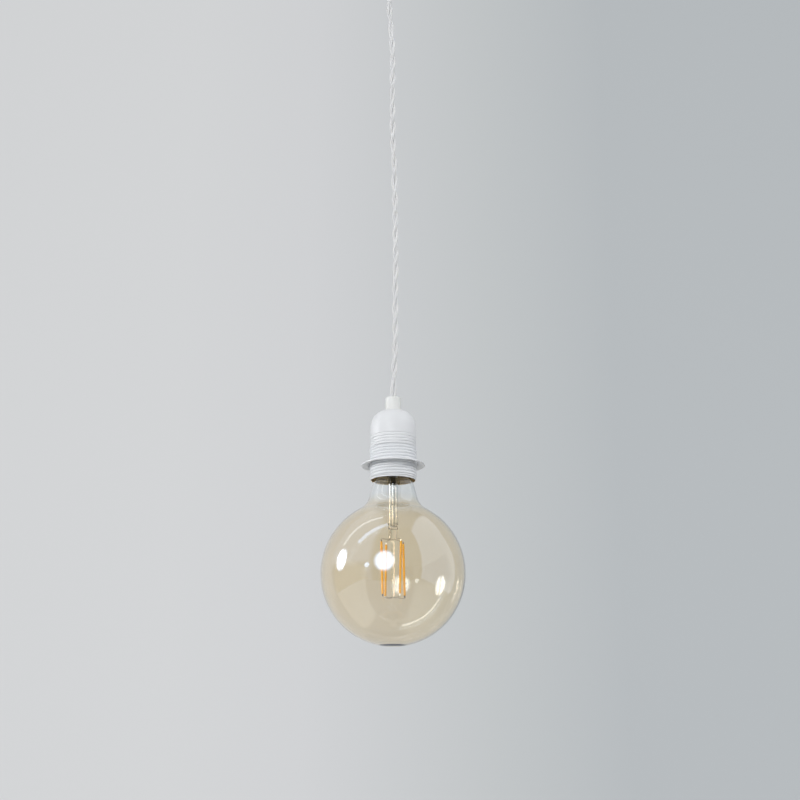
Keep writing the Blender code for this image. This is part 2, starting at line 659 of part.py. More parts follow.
def dome_outline():
    """Outline of the dome cap's wall: a rounded shoulder above a straight side."""
    flat = DOME_RADIUS - SHOULDER_WIDTH
    centre = (flat, HOLDER_TOP - SHOULDER_HEIGHT)
    inner = (SHOULDER_WIDTH - DOME_WALL, SHOULDER_HEIGHT - DOME_WALL)
    outline = [(NIPPLE_HOLE, HOLDER_TOP)]
    outline += arc(centre, (SHOULDER_WIDTH, SHOULDER_HEIGHT), 90, 0, SHOULDER_STEPS)
    outline += [(DOME_RADIUS, SEAM), (DOME_RADIUS - DOME_WALL, SEAM)]
    outline += arc(centre, inner, 0, 90, SHOULDER_STEPS)
    outline += [(NIPPLE_HOLE, HOLDER_TOP - DOME_WALL)]
    return outline


def holder_covers():
    """Dome cap, lower shell with its outer thread, and shade ring."""
    turned("dome_cap", dome_outline(), white_paint("dome_paint"))
    thread_top = SHELL_STEP - THREAD_MARGIN
    turns = int((thread_top - SHELL_RIM - THREAD_MARGIN / 2) / THREAD_PITCH)
    outline = [(COLLAR_RADIUS, COLLAR_TOP), (COLLAR_RADIUS, SHELL_STEP), (THREAD_CREST, SHELL_STEP)]
    outline += zigzag(thread_top, THREAD_PITCH, turns, THREAD_CREST, THREAD_ROOT)
    outline += [(THREAD_ROOT, SHELL_RIM), (SHELL_INNER, SHELL_RIM), (SHELL_INNER, SHELL_STEP - SHELL_WALL),
                (COLLAR_INNER, SHELL_STEP - SHELL_WALL), (COLLAR_INNER, COLLAR_TOP)]
    turned("threaded_shell", outline, white_paint("shell_paint"))


def shade_ring():
    """Dished flange with short lugs that reach to the thread's crests."""
    bm = bmesh.new()
    profile = ((0, RING_DISH), (1, 0), (1, -RING_THICKNESS), (0, RING_DISH - RING_THICKNESS))
    angles = []
    for k in range(RING_LUGS):
        middle = 2 * math.pi * k / RING_LUGS
        half = RING_LUG_ANGLE / 2
        half_space = math.pi / RING_LUGS
        angles += [(middle - half, True), (middle + half, True), (middle + half + RING_LUG_TAPER, False),
                   (middle + half_space, False), (middle + 2 * half_space - half - RING_LUG_TAPER, False)]
    rings = []
    for outward, rise in profile:
        ring = []
        for angle, lug in angles:
            inner = RING_INNER - (RING_LUG_DEPTH if lug else 0)
            radius = RING_RADIUS if outward else inner
            ring.append(bm.verts.new((radius * math.cos(angle), radius * math.sin(angle), RING_PLANE + rise)))
        rings.append(ring)
    count = len(angles)
    for ring, following in zip(rings, rings[1:] + rings[:1]):
        for k in range(count):
            bm.faces.new((ring[k], ring[(k + 1) % count], following[(k + 1) % count], following[k]))
    place("shade_ring", finish_mesh("shade_ring", bm), white_paint("ring_paint"))


def holder_fittings():
    """Nipple, nut and cord grip on top of the dome."""
    nut_top = HOLDER_TOP - DOME_WALL - GAP
    nipple_bottom = nut_top - NUT_HEIGHT - NIPPLE_RISE
    grip_base = HOLDER_TOP + GAP
    nipple("holder_nipple", grip_base + GRIP_SOCKET - GAP, nipple_bottom)
    hexagon_nut("holder_nut", nut_top - NUT_HEIGHT / 2)
    grub_height = cord_grip("lower_cord_grip", grip_base, upside_down=False)
    grub_screw("lower_grip_screw", grub_height)
    return nipple_bottom


def insert():
    """Insulating base held between the dome and the lower shell."""
    lower_radius = COLLAR_INNER - GAP
    outline = [(0, INSERT_TOP), (INSERT_TOP_RADIUS, INSERT_TOP), (INSERT_TOP_RADIUS, FLANGE_TOP),
               (COLLAR_RADIUS, FLANGE_TOP), (COLLAR_RADIUS, FLANGE_BOTTOM), (lower_radius, FLANGE_BOTTOM),
               (lower_radius, INSERT_BOTTOM), (0, INSERT_BOTTOM)]
    base = turned("insert", outline, material("insert_ceramic", (0.85, 0.84, 0.80), 0.3), closed=False)
    drill(base, RIVET_RADIUS + SCREW_HOLE_PLAY, (0, 0, INSERT_BOTTOM - GAP), (0, 0, INSERT_TOP + GAP))
    hole = SMALL_SCREW_RADIUS + SCREW_HOLE_PLAY
    y = -TERMINAL_SCREW_SPACING
    drill(base, hole, (TERMINAL_OFFSET, y, INSERT_BOTTOM - GAP), (TERMINAL_OFFSET, y, INSERT_TOP + GAP))
    blind_end = INSERT_BOTTOM + SHORT_SCREW_REACH + GAP
    drill(base, hole, (-TERMINAL_OFFSET, y, INSERT_BOTTOM - GAP), (-TERMINAL_OFFSET, y, blind_end))


def terminals():
    """Two brass terminals on the insert, their clamp screws and the link to the centre contact."""
    bottom = INSERT_TOP + GAP
    middle = bottom + TERMINAL_HEIGHT / 2
    top = bottom + TERMINAL_HEIGHT
    screw_length = top + GAP - middle - BARE_WIRE_RADIUS - GAP
    hole = SMALL_SCREW_RADIUS + SCREW_HOLE_PLAY
    for name, side in (("live", -1), ("neutral", 1)):
        x = side * TERMINAL_OFFSET
        y = TERMINAL_SCREW_SPACING
        body = extruded("terminal_" + name, rectangle(TERMINAL_WIDTH, TERMINAL_LENGTH), TERMINAL_HEIGHT,
                        brass(name + "_brass"), location=(x, 0, middle))
        drill(body, WIRE_HOLE_RADIUS, (x - TERMINAL_WIDTH, y, middle), (x + TERMINAL_WIDTH, y, middle))
        drill(body, hole, (x, y, middle), (x, y, top + GAP))
        if side > 0:
            drill(body, hole, (x, -y, bottom - GAP), (x, -y, bottom + SCREW_BITE + GAP))
        mesh = screw_mesh("terminal_screw", SMALL_SCREW_RADIUS, screw_length, SMALL_HEAD_RADIUS,
                          SMALL_HEAD_HEIGHT)
        place("terminal_screw_" + name, mesh, steel(name + "_screw_steel"), (x, y, top + GAP),
              Matrix.Rotation(math.pi, 4, "X"))
    link_end = -TERMINAL_OFFSET + TERMINAL_WIDTH / 2 + GAP
    link_start = LINK_WIDTH / 2
    link_place = ((link_start + link_end) / 2, 0, bottom + LINK_THICKNESS / 2)
    link = extruded("contact_link", rectangle(link_start - link_end, LINK_WIDTH), LINK_THICKNESS,
                    brass("link_brass"), location=link_place)
    drill(link, RIVET_RADIUS + SCREW_HOLE_PLAY, (0, 0, INSERT_TOP), (0, 0, bottom + 2 * LINK_THICKNESS))
    rivet_top = bottom + LINK_THICKNESS
    contact_back = CONTACT_FACE + CONTACT_THICKNESS
    outline = [(0, CONTACT_FACE), (CONTACT_RADIUS, CONTACT_FACE), (CONTACT_RADIUS, contact_back),
               (RIVET_RADIUS, contact_back), (RIVET_RADIUS, rivet_top), (0, rivet_top)]
    turned("centre_contact", outline, brass("contact_brass"), ROUND_SMALL, closed=False)
    return middle


def cap_thread():
    """Outline of the cap's thread, shared by the cap and the brass shell round it."""
    return zigzag(CAP_TOP, CAP_PITCH, CAP_TURNS, CAP_CREST, CAP_ROOT)


def screw_shell():
    """Brass shell with a rolled thread, screwed to the underside of the insert."""
    fit = [(radius + GAP, height) for radius, height in cap_thread()]
    flare = CAP_SKIRT_RADIUS + GAP
    lip = (flare + SCREW_SHELL_SHEET, CAP_THREAD_END - (flare + SCREW_SHELL_SHEET - fit[-1][0]))
    plate_underside = PLATE_TOP - SCREW_SHELL_SHEET
    inside = [(CONTACT_OPENING, plate_underside), (CAP_CREST + GAP, plate_underside)]
    inside += fit
    inside += [lip, (lip[0], lip[1] - SCREW_SHELL_LIP)]
    outside = [(lip[0] + SCREW_SHELL_SHEET, lip[1] - SCREW_SHELL_LIP), (lip[0] + SCREW_SHELL_SHEET, lip[1])]
    outside += [(radius + SCREW_SHELL_SHEET, height) for radius, height in reversed(fit)]
    outside += [(CAP_CREST + GAP + SCREW_SHELL_SHEET, PLATE_TOP), (CONTACT_OPENING, PLATE_TOP)]
    shell = turned("screw_shell", inside + outside, brass("shell_brass"), ROUND_CAP)
    hole = SMALL_SCREW_RADIUS + SCREW_HOLE_PLAY
    head_top = plate_underside - GAP
    for name, side, tip in (("short", -1, INSERT_BOTTOM + SHORT_SCREW_REACH),
                            ("long", 1, INSERT_TOP + GAP + SCREW_BITE)):
        x = side * TERMINAL_OFFSET
        y = -TERMINAL_SCREW_SPACING
        drill(shell, hole, (x, y, PLATE_TOP - 2 * SCREW_SHELL_SHEET), (x, y, PLATE_TOP + SCREW_SHELL_SHEET))
        mesh = screw_mesh("shell_screw", SMALL_SCREW_RADIUS, tip - head_top, SMALL_HEAD_RADIUS,
                          SMALL_HEAD_HEIGHT)
        place("shell_screw_" + name, mesh, steel(name + "_screw_steel"), (x, y, head_top))


def holder_leads(nipple_bottom, port_height):
    """The strands inside the dome, from the lower grip to the two terminals."""
    start = LOWER_GRIP_END - GAP
    y = TERMINAL_SCREW_SPACING
    port_x = TERMINAL_OFFSET - TERMINAL_WIDTH / 2
    drop = port_height - nipple_bottom
    for pole, side, colour in (("live", -1, LIVE_BROWN), ("neutral", 1, NEUTRAL_BLUE)):
        route = [(side * STRAND_SPREAD, 0, start), (side * STRAND_SPREAD, 0, nipple_bottom)]
        for outward, forward, down in (HOLDER_LEAD_HIGH, HOLDER_LEAD_LOW, HOLDER_LEAD_TURN):
            x = STRAND_SPREAD + (port_x - STRAND_SPREAD) * outward
            route.append((side * x, y * forward, nipple_bottom + drop * down))
        route += [(side * (port_x - GAP), y, port_height),
                  (side * (port_x - GAP + BARE_WIRE_LENGTH), y, port_height)]
        lead("holder_lead_" + pole, route, colour)


def cap_parts():
    """The bulb's screw cap: rolled shell, glass insulator and end contact."""
    outside = cap_thread()
    skirt_top = CAP_THREAD_END - (CAP_SKIRT_RADIUS - CAP_ROOT)
    outside += [(CAP_SKIRT_RADIUS, skirt_top), (CAP_SKIRT_RADIUS, CAP_BOTTOM)]
    inside = [(radius - CAP_SHEET, height) for radius, height in reversed(outside)]
    nickel = material("cap_nickel", (0.66, 0.64, 0.60), 0.3, metallic=1.0)
    turned("cap_shell", outside + inside, nickel, ROUND_CAP)
    outline = [(0, CAP_INSULATOR_TOP), (CAP_CONTACT_RADIUS, CAP_INSULATOR_TOP),
               (CAP_ROOT, CAP_INSULATOR_BOTTOM), (0, CAP_INSULATOR_BOTTOM)]
    black_glass = material("black_glass", (0.03, 0.03, 0.04), 0.2)
    turned("cap_insulator", outline, black_glass, ROUND_CAP, closed=False)
    bottom = TIP_TOP - CAP_CONTACT_HEIGHT
    edge = CAP_CONTACT_HEIGHT / 3
    outline = [(0, TIP_TOP), (CAP_CONTACT_RADIUS - edge, TIP_TOP), (CAP_CONTACT_RADIUS, TIP_TOP - edge),
               (CAP_CONTACT_RADIUS, bottom), (0, bottom)]
    turned("cap_contact", outline, steel("contact_tin"), ROUND_SMALL, closed=False)


def glass_outline(inset):
    """One side of the globe's wall from its lowest point to the neck's end, moved in by inset."""
    radius = GLOBE_RADIUS - inset
    start = -90
    end = 90 - math.degrees(NECK_ANGLE)
    points = arc((0, GLOBE_CENTRE), (radius, radius), start, end, GLOBE_STEPS)
    leave = Vector(points[-1])
    leave_heading = Vector((-math.cos(NECK_ANGLE), math.sin(NECK_ANGLE)))
    base = Vector((NECK_BASE_RADIUS - inset, NECK_BASE))
    waist = Vector((NECK_WAIST_RADIUS - inset, NECK_WAIST))
    base_heading = (waist - base).normalized()
    # The fillet's corner is where the globe's tangent meets the neck's side
    across = leave_heading.x * base_heading.y - leave_heading.y * base_heading.x
    offset = base - leave
    distance = (offset.x * base_heading.y - offset.y * base_heading.x) / across
    corner = leave + leave_heading * distance
    for k in range(1, FILLET_STEPS + 1):
        t = k / FILLET_STEPS
        points.append(tuple((1 - t) ** 2 * leave + 2 * t * (1 - t) * corner + t * t * base))
    seat = Vector((NECK_SEAT_RADIUS - inset, CAP_BOTTOM))
    points.append(tuple(waist))
    points.append(tuple((waist + 3 * seat) / 4 + Vector((NECK_SHOULDER_OUT, -NECK_SHOULDER_DROP))))
    points.append(tuple(seat + Vector((0, NECK_SEAT_RISE))))
    points.append((seat.x, NECK_END))
    return points


def bulb_glass():
    outline = glass_outline(0) + list(reversed(glass_outline(GLASS_WALL)))
    turned("bulb_glass", outline, clear_glass("globe_glass"), ROUND_GLOBE, closed=False)


def oval_ring(bm, half_width, half_depth, height, sides):
    """A ring of points, its long side in the filaments' direction."""
    ring = []
    for k in range(sides):
        angle = 2 * math.pi * k / sides
        along = half_width * math.cos(angle)
        across = half_depth * math.sin(angle)
        x = along * math.cos(FILAMENT_TURN) - across * math.sin(FILAMENT_TURN)
        y = along * math.sin(FILAMENT_TURN) + across * math.cos(FILAMENT_TURN)
        ring.append(bm.verts.new((x, y, height)))
    return ring


def stem():
    """Flared glass tube that ends in a flattened press."""
    flare_radius = NECK_SEAT_RADIUS - GLASS_WALL - GAP
    flare_top = NECK_END
    tube_top = flare_top - STEM_FLARE_LENGTH
    inner = STEM_RADIUS - STEM_WALL
    middle_radius = (flare_radius + 2 * STEM_RADIUS) / 3
    middle_height = tube_top + STEM_FLARE_LENGTH / 3
    rings = [
        (PRESS_HALF_WIDTH, PRESS_HALF_DEPTH, PRESS_BOTTOM),
        (PRESS_HALF_WIDTH, PRESS_HALF_DEPTH, PRESS_TOP - PRESS_OVERLAP),
        (STEM_RADIUS, STEM_RADIUS, PRESS_TOP + PRESS_OVERLAP),
        (STEM_RADIUS, STEM_RADIUS, tube_top),
        (middle_radius, middle_radius, middle_height),
        (flare_radius, flare_radius, flare_top),
        (flare_radius - STEM_WALL, flare_radius - STEM_WALL, flare_top),
        (middle_radius - STEM_WALL, middle_radius - STEM_WALL, middle_height),
        (inner, inner, tube_top),
        (inner, inner, PRESS_TOP + PRESS_OVERLAP),
    ]
    bm = bmesh.new()
    loops = [oval_ring(bm, *sizes, ROUND_SMALL) for sizes in rings]
    for ring, following in zip(loops, loops[1:]):
        for k in range(ROUND_SMALL):
            after = (k + 1) % ROUND_SMALL
            bm.faces.new((ring[k], ring[after], following[after], following[k]))
    bm.faces.new(loops[0])
    bm.faces.new(loops[-1])
    piece = place("stem", finish_mesh("stem", bm), clear_glass("stem_glass"))
    for side in (-1, 1):
        x, y = lead_in_place(side)
        ends = [(x, y, PRESS_BOTTOM - GAP), (x, y, PRESS_TOP + 3 * PRESS_OVERLAP)]
        drill(piece, WIRE_RADIUS + GAP, *ends, ROUND_STRIP)
    outline = [(EXHAUST_RADIUS, BOARD_BOTTOM - 2 * GAP), (EXHAUST_RADIUS, PRESS_TOP + PRESS_OVERLAP + GAP),
               (EXHAUST_RADIUS - EXHAUST_WALL, PRESS_TOP + PRESS_OVERLAP + GAP),
               (EXHAUST_RADIUS - EXHAUST_WALL, BOARD_BOTTOM - 2 * GAP - EXHAUST_WALL),
               (0, BOARD_BOTTOM - 2 * GAP - EXHAUST_WALL), (0, BOARD_BOTTOM - 2 * GAP)]
    turned("exhaust_tube", outline, clear_glass("exhaust_glass"), ROUND_TINY)
    outline = [(0, ROD_TOP), (SUPPORT_ROD_RADIUS, ROD_TOP), (SUPPORT_ROD_RADIUS, ROD_BOTTOM), (0, ROD_BOTTOM)]
    turned("support_rod", outline, clear_glass("rod_glass"), ROUND_TINY, closed=False)


def lead_in_place(side):
    """Where a lead-in wire passes through the press."""
    return (side * LEAD_IN_OFFSET * math.cos(FILAMENT_TURN), side * LEAD_IN_OFFSET * math.sin(FILAMENT_TURN))


def filament_ends():
    """Top and bottom of each filament's tabs, going round from the back right."""
    ends = []
    for k, lean in enumerate(FILAMENT_LEANS):
        angle = FILAMENT_TURN + k * math.pi / 2
        foot = Vector((FILAMENT_CIRCLE * math.cos(angle), FILAMENT_CIRCLE * math.sin(angle), 0))
        top = foot + Vector((-lean / 2, 0, FILAMENT_TOP + TAB_REACH))
        bottom = foot + Vector((lean / 2, 0, FILAMENT_BOTTOM - TAB_REACH))
        ends.append((top, bottom))
    return ends


def filaments():
    """Four phosphor-coated strips with metal tabs, and the wires that join and carry them."""
    ends = filament_ends()
    names = ("filament_back_right", "filament_back_left", "filament_front_left", "filament_front_right")
    for name, (top, bottom) in zip(names, ends):
        length = (top - bottom).length
        half = length / 2 - TAB_REACH
        outline = [(0, length / 2), (TAB_RADIUS, length / 2), (TAB_RADIUS, half), (FILAMENT_RADIUS, half),
                   (FILAMENT_RADIUS, -half), (TAB_RADIUS, -half), (TAB_RADIUS, -length / 2), (0, -length / 2)]
        turn = (top - bottom).to_track_quat("Z", "Y").to_matrix().to_4x4()
        turned(name, outline, material(name + "_phosphor", PHOSPHOR_ORANGE, 0.6), ROUND_STRIP, closed=False,
               location=(top + bottom) / 2, turn=turn)
    back_right, back_left, front_left, front_right = ends
    for name, side, end in (("lead_in_right", 1, back_right), ("lead_in_left", -1, front_left)):
        x, y = lead_in_place(side)
        bend = 2 * WIRE_RADIUS
        points = [(x, y, BOARD_BOTTOM - GAP), (x, y, TOP_WIRE_HEIGHT + bend),
                  (x * 1.1, y * 1.1, TOP_WIRE_HEIGHT + bend / 4), (x * 1.3, y * 1.3, TOP_WIRE_HEIGHT),
                  (end[0].x, end[0].y, TOP_WIRE_HEIGHT)]
        wire(name, points, WIRE_RADIUS, wire_metal(name))
    bypass = Vector((math.cos(FILAMENT_TURN), math.sin(FILAMENT_TURN), 0)) * -LINK_BYPASS
    along = Vector((-bypass.y, bypass.x, 0))
    level = Vector((0, 0, TOP_WIRE_HEIGHT))
    points = [Vector((back_left[0].x, back_left[0].y, 0)) + level, bypass - along + level,
              bypass + along + level, Vector((front_right[0].x, front_right[0].y, 0)) + level]
    wire("top_link", points, WIRE_RADIUS, wire_metal("top_link"))
    level = Vector((0, 0, BOTTOM_WIRE_HEIGHT))
    for name, first, second in (("bottom_link_left", front_left, back_left),
                                ("bottom_link_right", back_right, front_right)):
        first = Vector((first[1].x, first[1].y, 0))
        second = Vector((second[1].x, second[1].y, 0))
        apex = (first + second).normalized() * LINK_APEX
        wire(name, [first + level, apex + level, second + level], WIRE_RADIUS,
             wire_metal(name))


def driver():
    """Small circuit board in the cap, on top of the lead-in wires, with its capacitor."""
    middle = (BOARD_TOP + BOARD_BOTTOM) / 2
    extruded("driver_board", rectangle(2 * BOARD_HALF_WIDTH, BOARD_THICKNESS), BOARD_HEIGHT,
             material("board_resin", (0.10, 0.30, 0.14), 0.4), location=(0, 0, middle),
             turn=Matrix.Rotation(FILAMENT_TURN, 4, "Z"))
    away = BOARD_THICKNESS / 2 + GAP + CAPACITOR_RADIUS
    half = CAPACITOR_LENGTH / 2
    outline = [(0, half), (CAPACITOR_RADIUS, half), (CAPACITOR_RADIUS, -half), (0, -half)]
    location = (-away * math.sin(FILAMENT_TURN), away * math.cos(FILAMENT_TURN), middle)
    sleeve = material("capacitor_sleeve", (0.06, 0.06, 0.07), 0.4)
    turned("driver_capacitor", outline, sleeve, ROUND_SMALL, closed=False, location=location)


def build():
    clear_scene()
    ceiling_bracket()
    ceiling_cup()
    side_screws()
    cup_nipple_top = cup_fittings()
    block_port = terminal_block()
    supply_leads(cup_nipple_top, block_port)
    cord()
    holder_covers()
    shade_ring()
    holder_nipple_bottom = holder_fittings()
    insert()
    terminal_port = terminals()
    screw_shell()
    holder_leads(holder_nipple_bottom, terminal_port)
    cap_parts()
    bulb_glass()
    stem()
    filaments()
    driver()


build()
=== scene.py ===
"""Looks of the pendant light: finer meshes, procedural materials, studio and camera.

Metres, +Z up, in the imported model's frame: the origin is in the ceiling plane, and the lamp
hangs along -Z with its photographed side towards -Y.
"""
import json
import math

import bpy
import numpy as np
from mathutils import Matrix, Vector


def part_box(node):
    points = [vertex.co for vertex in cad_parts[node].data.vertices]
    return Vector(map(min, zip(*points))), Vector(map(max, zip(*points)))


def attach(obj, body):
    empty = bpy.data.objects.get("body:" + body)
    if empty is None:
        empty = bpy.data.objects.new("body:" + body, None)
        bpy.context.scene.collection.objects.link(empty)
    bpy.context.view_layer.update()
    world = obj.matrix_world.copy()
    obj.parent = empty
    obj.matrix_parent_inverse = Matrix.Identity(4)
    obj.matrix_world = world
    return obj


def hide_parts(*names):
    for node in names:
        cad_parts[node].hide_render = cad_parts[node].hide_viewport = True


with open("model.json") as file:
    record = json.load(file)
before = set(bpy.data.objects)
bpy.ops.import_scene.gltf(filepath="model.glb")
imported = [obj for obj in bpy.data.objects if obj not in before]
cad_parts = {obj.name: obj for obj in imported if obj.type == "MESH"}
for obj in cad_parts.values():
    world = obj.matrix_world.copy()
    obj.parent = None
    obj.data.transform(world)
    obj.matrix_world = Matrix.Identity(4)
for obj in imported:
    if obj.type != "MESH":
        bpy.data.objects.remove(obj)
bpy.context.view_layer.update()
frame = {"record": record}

FULL = 2 * math.pi
# Radius at which an outline ends on the axis
AXIS = 0.00002
# Height of one row of faces in a thread
THREAD_ROW = 0.00022

# Cord: the same route as in the part's source
GAP = 0.0003
UPPER_GRIP_END = -0.0383
LOWER_GRIP_END = -0.4983
# Sideways and forward, in tenths of a millimetre, at even steps down the cord
CORD_SWAY = (
    (0, 0), (-9, 2), (-29, 5), (-42, 8), (-33, 10), (-19, 9), (-10, 5), (-8, 1), (-12, -3), (-10, -6),
    (-9, -7), (-5, -6), (6, -3), (9, 1), (14, 5), (17, 7), (19, 8), (21, 7), (18, 4), (18, 1), (19, -2),
    (18, -3), (15, -2), (5, -1), (0, 0),
)
STRAND_RADIUS = 0.00142
STRAND_OFFSET = 0.00146
STRAND_SIDES = 40
TWIST_TURNS = 12
TWIST_EASE = 0.0125
BRAID_YARNS = 8
BRAID_LEAD = 0.0128
BRAID_RELIEF = 0.00006

# Holder
GRIP_RADIUS = 0.007
GRIP_LENGTH = 0.012
GRIP_BORE = 0.0033
GRIP_SOCKET = 0.006
GRIP_HOLE = 0.0018
GRIP_HOLE_INSET = 0.003
NIPPLE_HOLE = 0.0053
CUP_RADIUS = 0.05
CUP_WALL = 0.001
CUP_EDGE = 0.006
SIDE_HOLE = 0.0023
SIDE_SCREW_DROP = 0.009
DOME_RADIUS = 0.0202
DOME_WALL = 0.001
DOME_EDGE = 0.00025
SHOULDER_WIDTH = 0.013
SHOULDER_HEIGHT = 0.0155
DOME_LINES_TOP = 0.0236
DOME_LINES_END = 0.0334
DOME_LINE_DEPTH = 0.00058
THREAD_CREST = 0.0207
THREAD_DEPTH = 0.0007
THREAD_PITCH = 0.0026
SHELL_WALL = 0.0009
COLLAR_RADIUS = 0.0189
COLLAR_LENGTH = 0.0065
RING_RADIUS = 0.0279
RING_INNER = 0.0215
RING_DISH = 0.0019
RING_THICKNESS = 0.0012
RING_SLOTS = 8
RING_SLOT_REACH = 0.0022
# One slot is a little to the left of the front
RING_SLOT_TURN = math.radians(254.5)
RING_LIP = 0.021
RING_PLANE = -0.5598
RING_LIFT = 0.0004
RING_LEAN = (math.radians(-0.9), math.radians(-0.5))

# Cap and its brass shell
CAP_CREST = 0.0131
CAP_THREAD_DEPTH = 0.00105
CAP_ROOT = CAP_CREST - CAP_THREAD_DEPTH
CAP_PITCH = 0.00363
CAP_TURNS = 4
CAP_SHEET = 0.0004
CAP_SKIRT_RADIUS = 0.0134
SCREW_SHELL_SHEET = 0.0005
CONTACT_OPENING = 0.0062

# Bulb
GLOBE_RADIUS = 0.0625
GLOBE_CENTRE = -0.6548
GLASS_WALL = 0.0009
FOOT_GLASS = 0.0009
NECK_ANGLE = math.radians(29.5)
NECK_BASE_RISE = 0.003
NECK_BASE_RADIUS = 0.0213
NECK_WAIST_RADIUS = 0.0179
NECK_WAIST_SHARE = 0.57
STEM_RADIUS = 0.0044
STEM_WALL = 0.0007
STEM_FLARE_LENGTH = 0.01
PRESS_LENGTH = 0.0098
PRESS_HALF_WIDTH = 0.0046
PRESS_HALF_DEPTH = 0.0022
PRESS_ROWS = 33
EXHAUST_RADIUS = 0.0015
EXHAUST_BORE = 0.001
FILAMENT_LENGTH = 0.0452
FILAMENT_RADIUS = 0.00095
FILAMENT_CIRCLE = 0.0114
FILAMENT_TURN = math.radians(34.2)
FILAMENT_TOP = -0.6284
FILAMENT_LEANS = (0.0013, -0.0007, 0.0013, -0.0009)
TAB_REACH = 0.0018
WIRE_RADIUS = 0.0003
LEAD_IN_OFFSET = 0.003

# Photograph's camera
CAMERA_PLACE = (0.006, -1.117, -0.8173)
CAMERA_PITCH = math.radians(15.86)
CAMERA_LENS = 58.5


def make_camera():
    data = bpy.data.cameras.new("photo_camera")
    data.lens = CAMERA_LENS
    data.clip_start = 0.01
    camera = bpy.data.objects.new("photo_camera", data)
    bpy.context.collection.objects.link(camera)
    camera.location = CAMERA_PLACE
    camera.rotation_euler = (math.pi / 2 + CAMERA_PITCH, 0.0, 0.0)
    bpy.context.scene.camera = camera


# Mesh helpers

def add_mesh(name, verts, faces, surfaces, indices=None, uvs=None, sharp=40.0):
    """An object at the origin from points and faces."""
    mesh = bpy.data.meshes.new(name)
    mesh.from_pydata([tuple(point) for point in verts], [], faces)
    mesh.validate()
    for surface in surfaces:
        mesh.materials.append(surface)
    if indices is not None:
        mesh.polygons.foreach_set("material_index", indices)
    if uvs is not None:
        corners = np.empty(len(mesh.loops), dtype=np.int32)
        mesh.loops.foreach_get("vertex_index", corners)
        flat = np.array(uvs, dtype=np.float32)[corners].ravel()
        mesh.uv_layers.new(name="surface").data.foreach_set("uv", flat)
    mesh.shade_smooth()
    if sharp:
        mesh.set_sharp_from_angle(angle=math.radians(sharp))
    piece = bpy.data.objects.new(name, mesh)
    bpy.context.collection.objects.link(piece)
    return piece


def outward(piece):
    """Make a closed mesh's faces point out."""
    mesh = piece.data
    mesh.calc_loop_triangles()
    volume = 0.0
    for triangle in mesh.loop_triangles:
        a, b, c = (mesh.vertices[k].co for k in triangle.vertices)
        volume += a.dot(b.cross(c))
    if volume < 0:
        mesh.flip_normals()


def grid_faces(rows, columns, close_rows=False, start=0):
    """Faces between rows of points, each of which closes round."""
    faces = []
    for i in range(rows if close_rows else rows - 1):
        here = start + i * columns
        below = start + (i + 1) % rows * columns
        for j in range(columns):
            after = (j + 1) % columns
            faces.append((here + j, here + after, below + after, below + j))
    return faces


def joined(grids):
    """Points and faces of several tubes with capped ends."""
    verts = []
    faces = []
    for grid in grids:
        rows, columns, _ = grid.shape
        start = len(verts)
        end = start + rows * columns
        verts.extend(grid.reshape(-1, 3))
        faces.extend(grid_faces(rows, columns, start=start))
        faces += [tuple(range(start, start + columns))[::-1], tuple(range(end - columns, end))]
    return verts, faces


def lathe(name, profile, sides, surfaces, relief=None, marks=None, closed=True, sharp=40.0):
    """Spin an outline of (radius, height) points.

    relief gives an added radius at (row, angle, height), and marks each row's material.
    """
    outline = np.array(profile, dtype=float)
    angles = np.arange(sides) * FULL / sides
    radius, height = (np.repeat(outline[:, k:k + 1], sides, axis=1) for k in (0, 1))
    if relief is not None:
        radius = radius + relief(np.arange(len(outline))[:, None], angles[None, :], height)
    grid = np.stack([radius * np.cos(angles), radius * np.sin(angles), height], axis=2)
    if closed:
        verts, faces = grid.reshape(-1, 3), grid_faces(len(outline), sides, True)
    else:
        verts, faces = joined([grid])
    indices = None if marks is None else np.repeat(marks, sides).astype(np.int32)
    piece = add_mesh(name, verts, faces, surfaces, indices, sharp=sharp)
    outward(piece)
    return piece


def add_tubes(name, grids, surface, sharp=0, uvs=None):
    """One piece from several tubes with capped ends."""
    verts, faces = joined(grids)
    piece = add_mesh(name, verts, faces, [surface], uvs=uvs, sharp=sharp)
    outward(piece)
    return piece


def drill(piece, radius, reach, centre, turn):
    """Bore a round hole; turn is the axis that tips the bore over from upright."""
    outline = [(AXIS / 2, -reach), (radius, -reach), (radius, reach), (AXIS / 2, reach)]
    cutter = lathe("drill", outline, 32, piece.data.materials[:], closed=False)
    cutter.data.transform(Matrix.Translation(centre) @ Matrix.Rotation(math.pi / 2, 4, turn))
    modifier = piece.modifiers.new("drill", "BOOLEAN")
    modifier.operation = "DIFFERENCE"
    modifier.solver = "EXACT"
    modifier.object = cutter
    bpy.context.view_layer.update()
    drilled = bpy.data.meshes.new_from_object(piece.evaluated_get(bpy.context.evaluated_depsgraph_get()))
    piece.modifiers.clear()
    piece.data = drilled
    drilled.shade_smooth()
    drilled.set_sharp_from_angle(angle=math.radians(40))
    bpy.data.objects.remove(cutter, do_unlink=True)


def fine(points, step):
    """The same outline with its straight lines divided."""
    dense = [points[0]]
    for start, end in zip(points, points[1:]):
        count = max(1, math.ceil(math.dist(start, end) / step))
        dense += [tuple(a + (b - a) * (k / count) for a, b in zip(start, end)) for k in range(1, count + 1)]
    return dense


def bend(start, corner, end, steps):
    """Points on a curve that touches the lines from both ends to the corner."""
    return [tuple((1 - t) ** 2 * start + 2 * t * (1 - t) * corner + t * t * end)
            for t in (k / steps for k in range(steps + 1))]


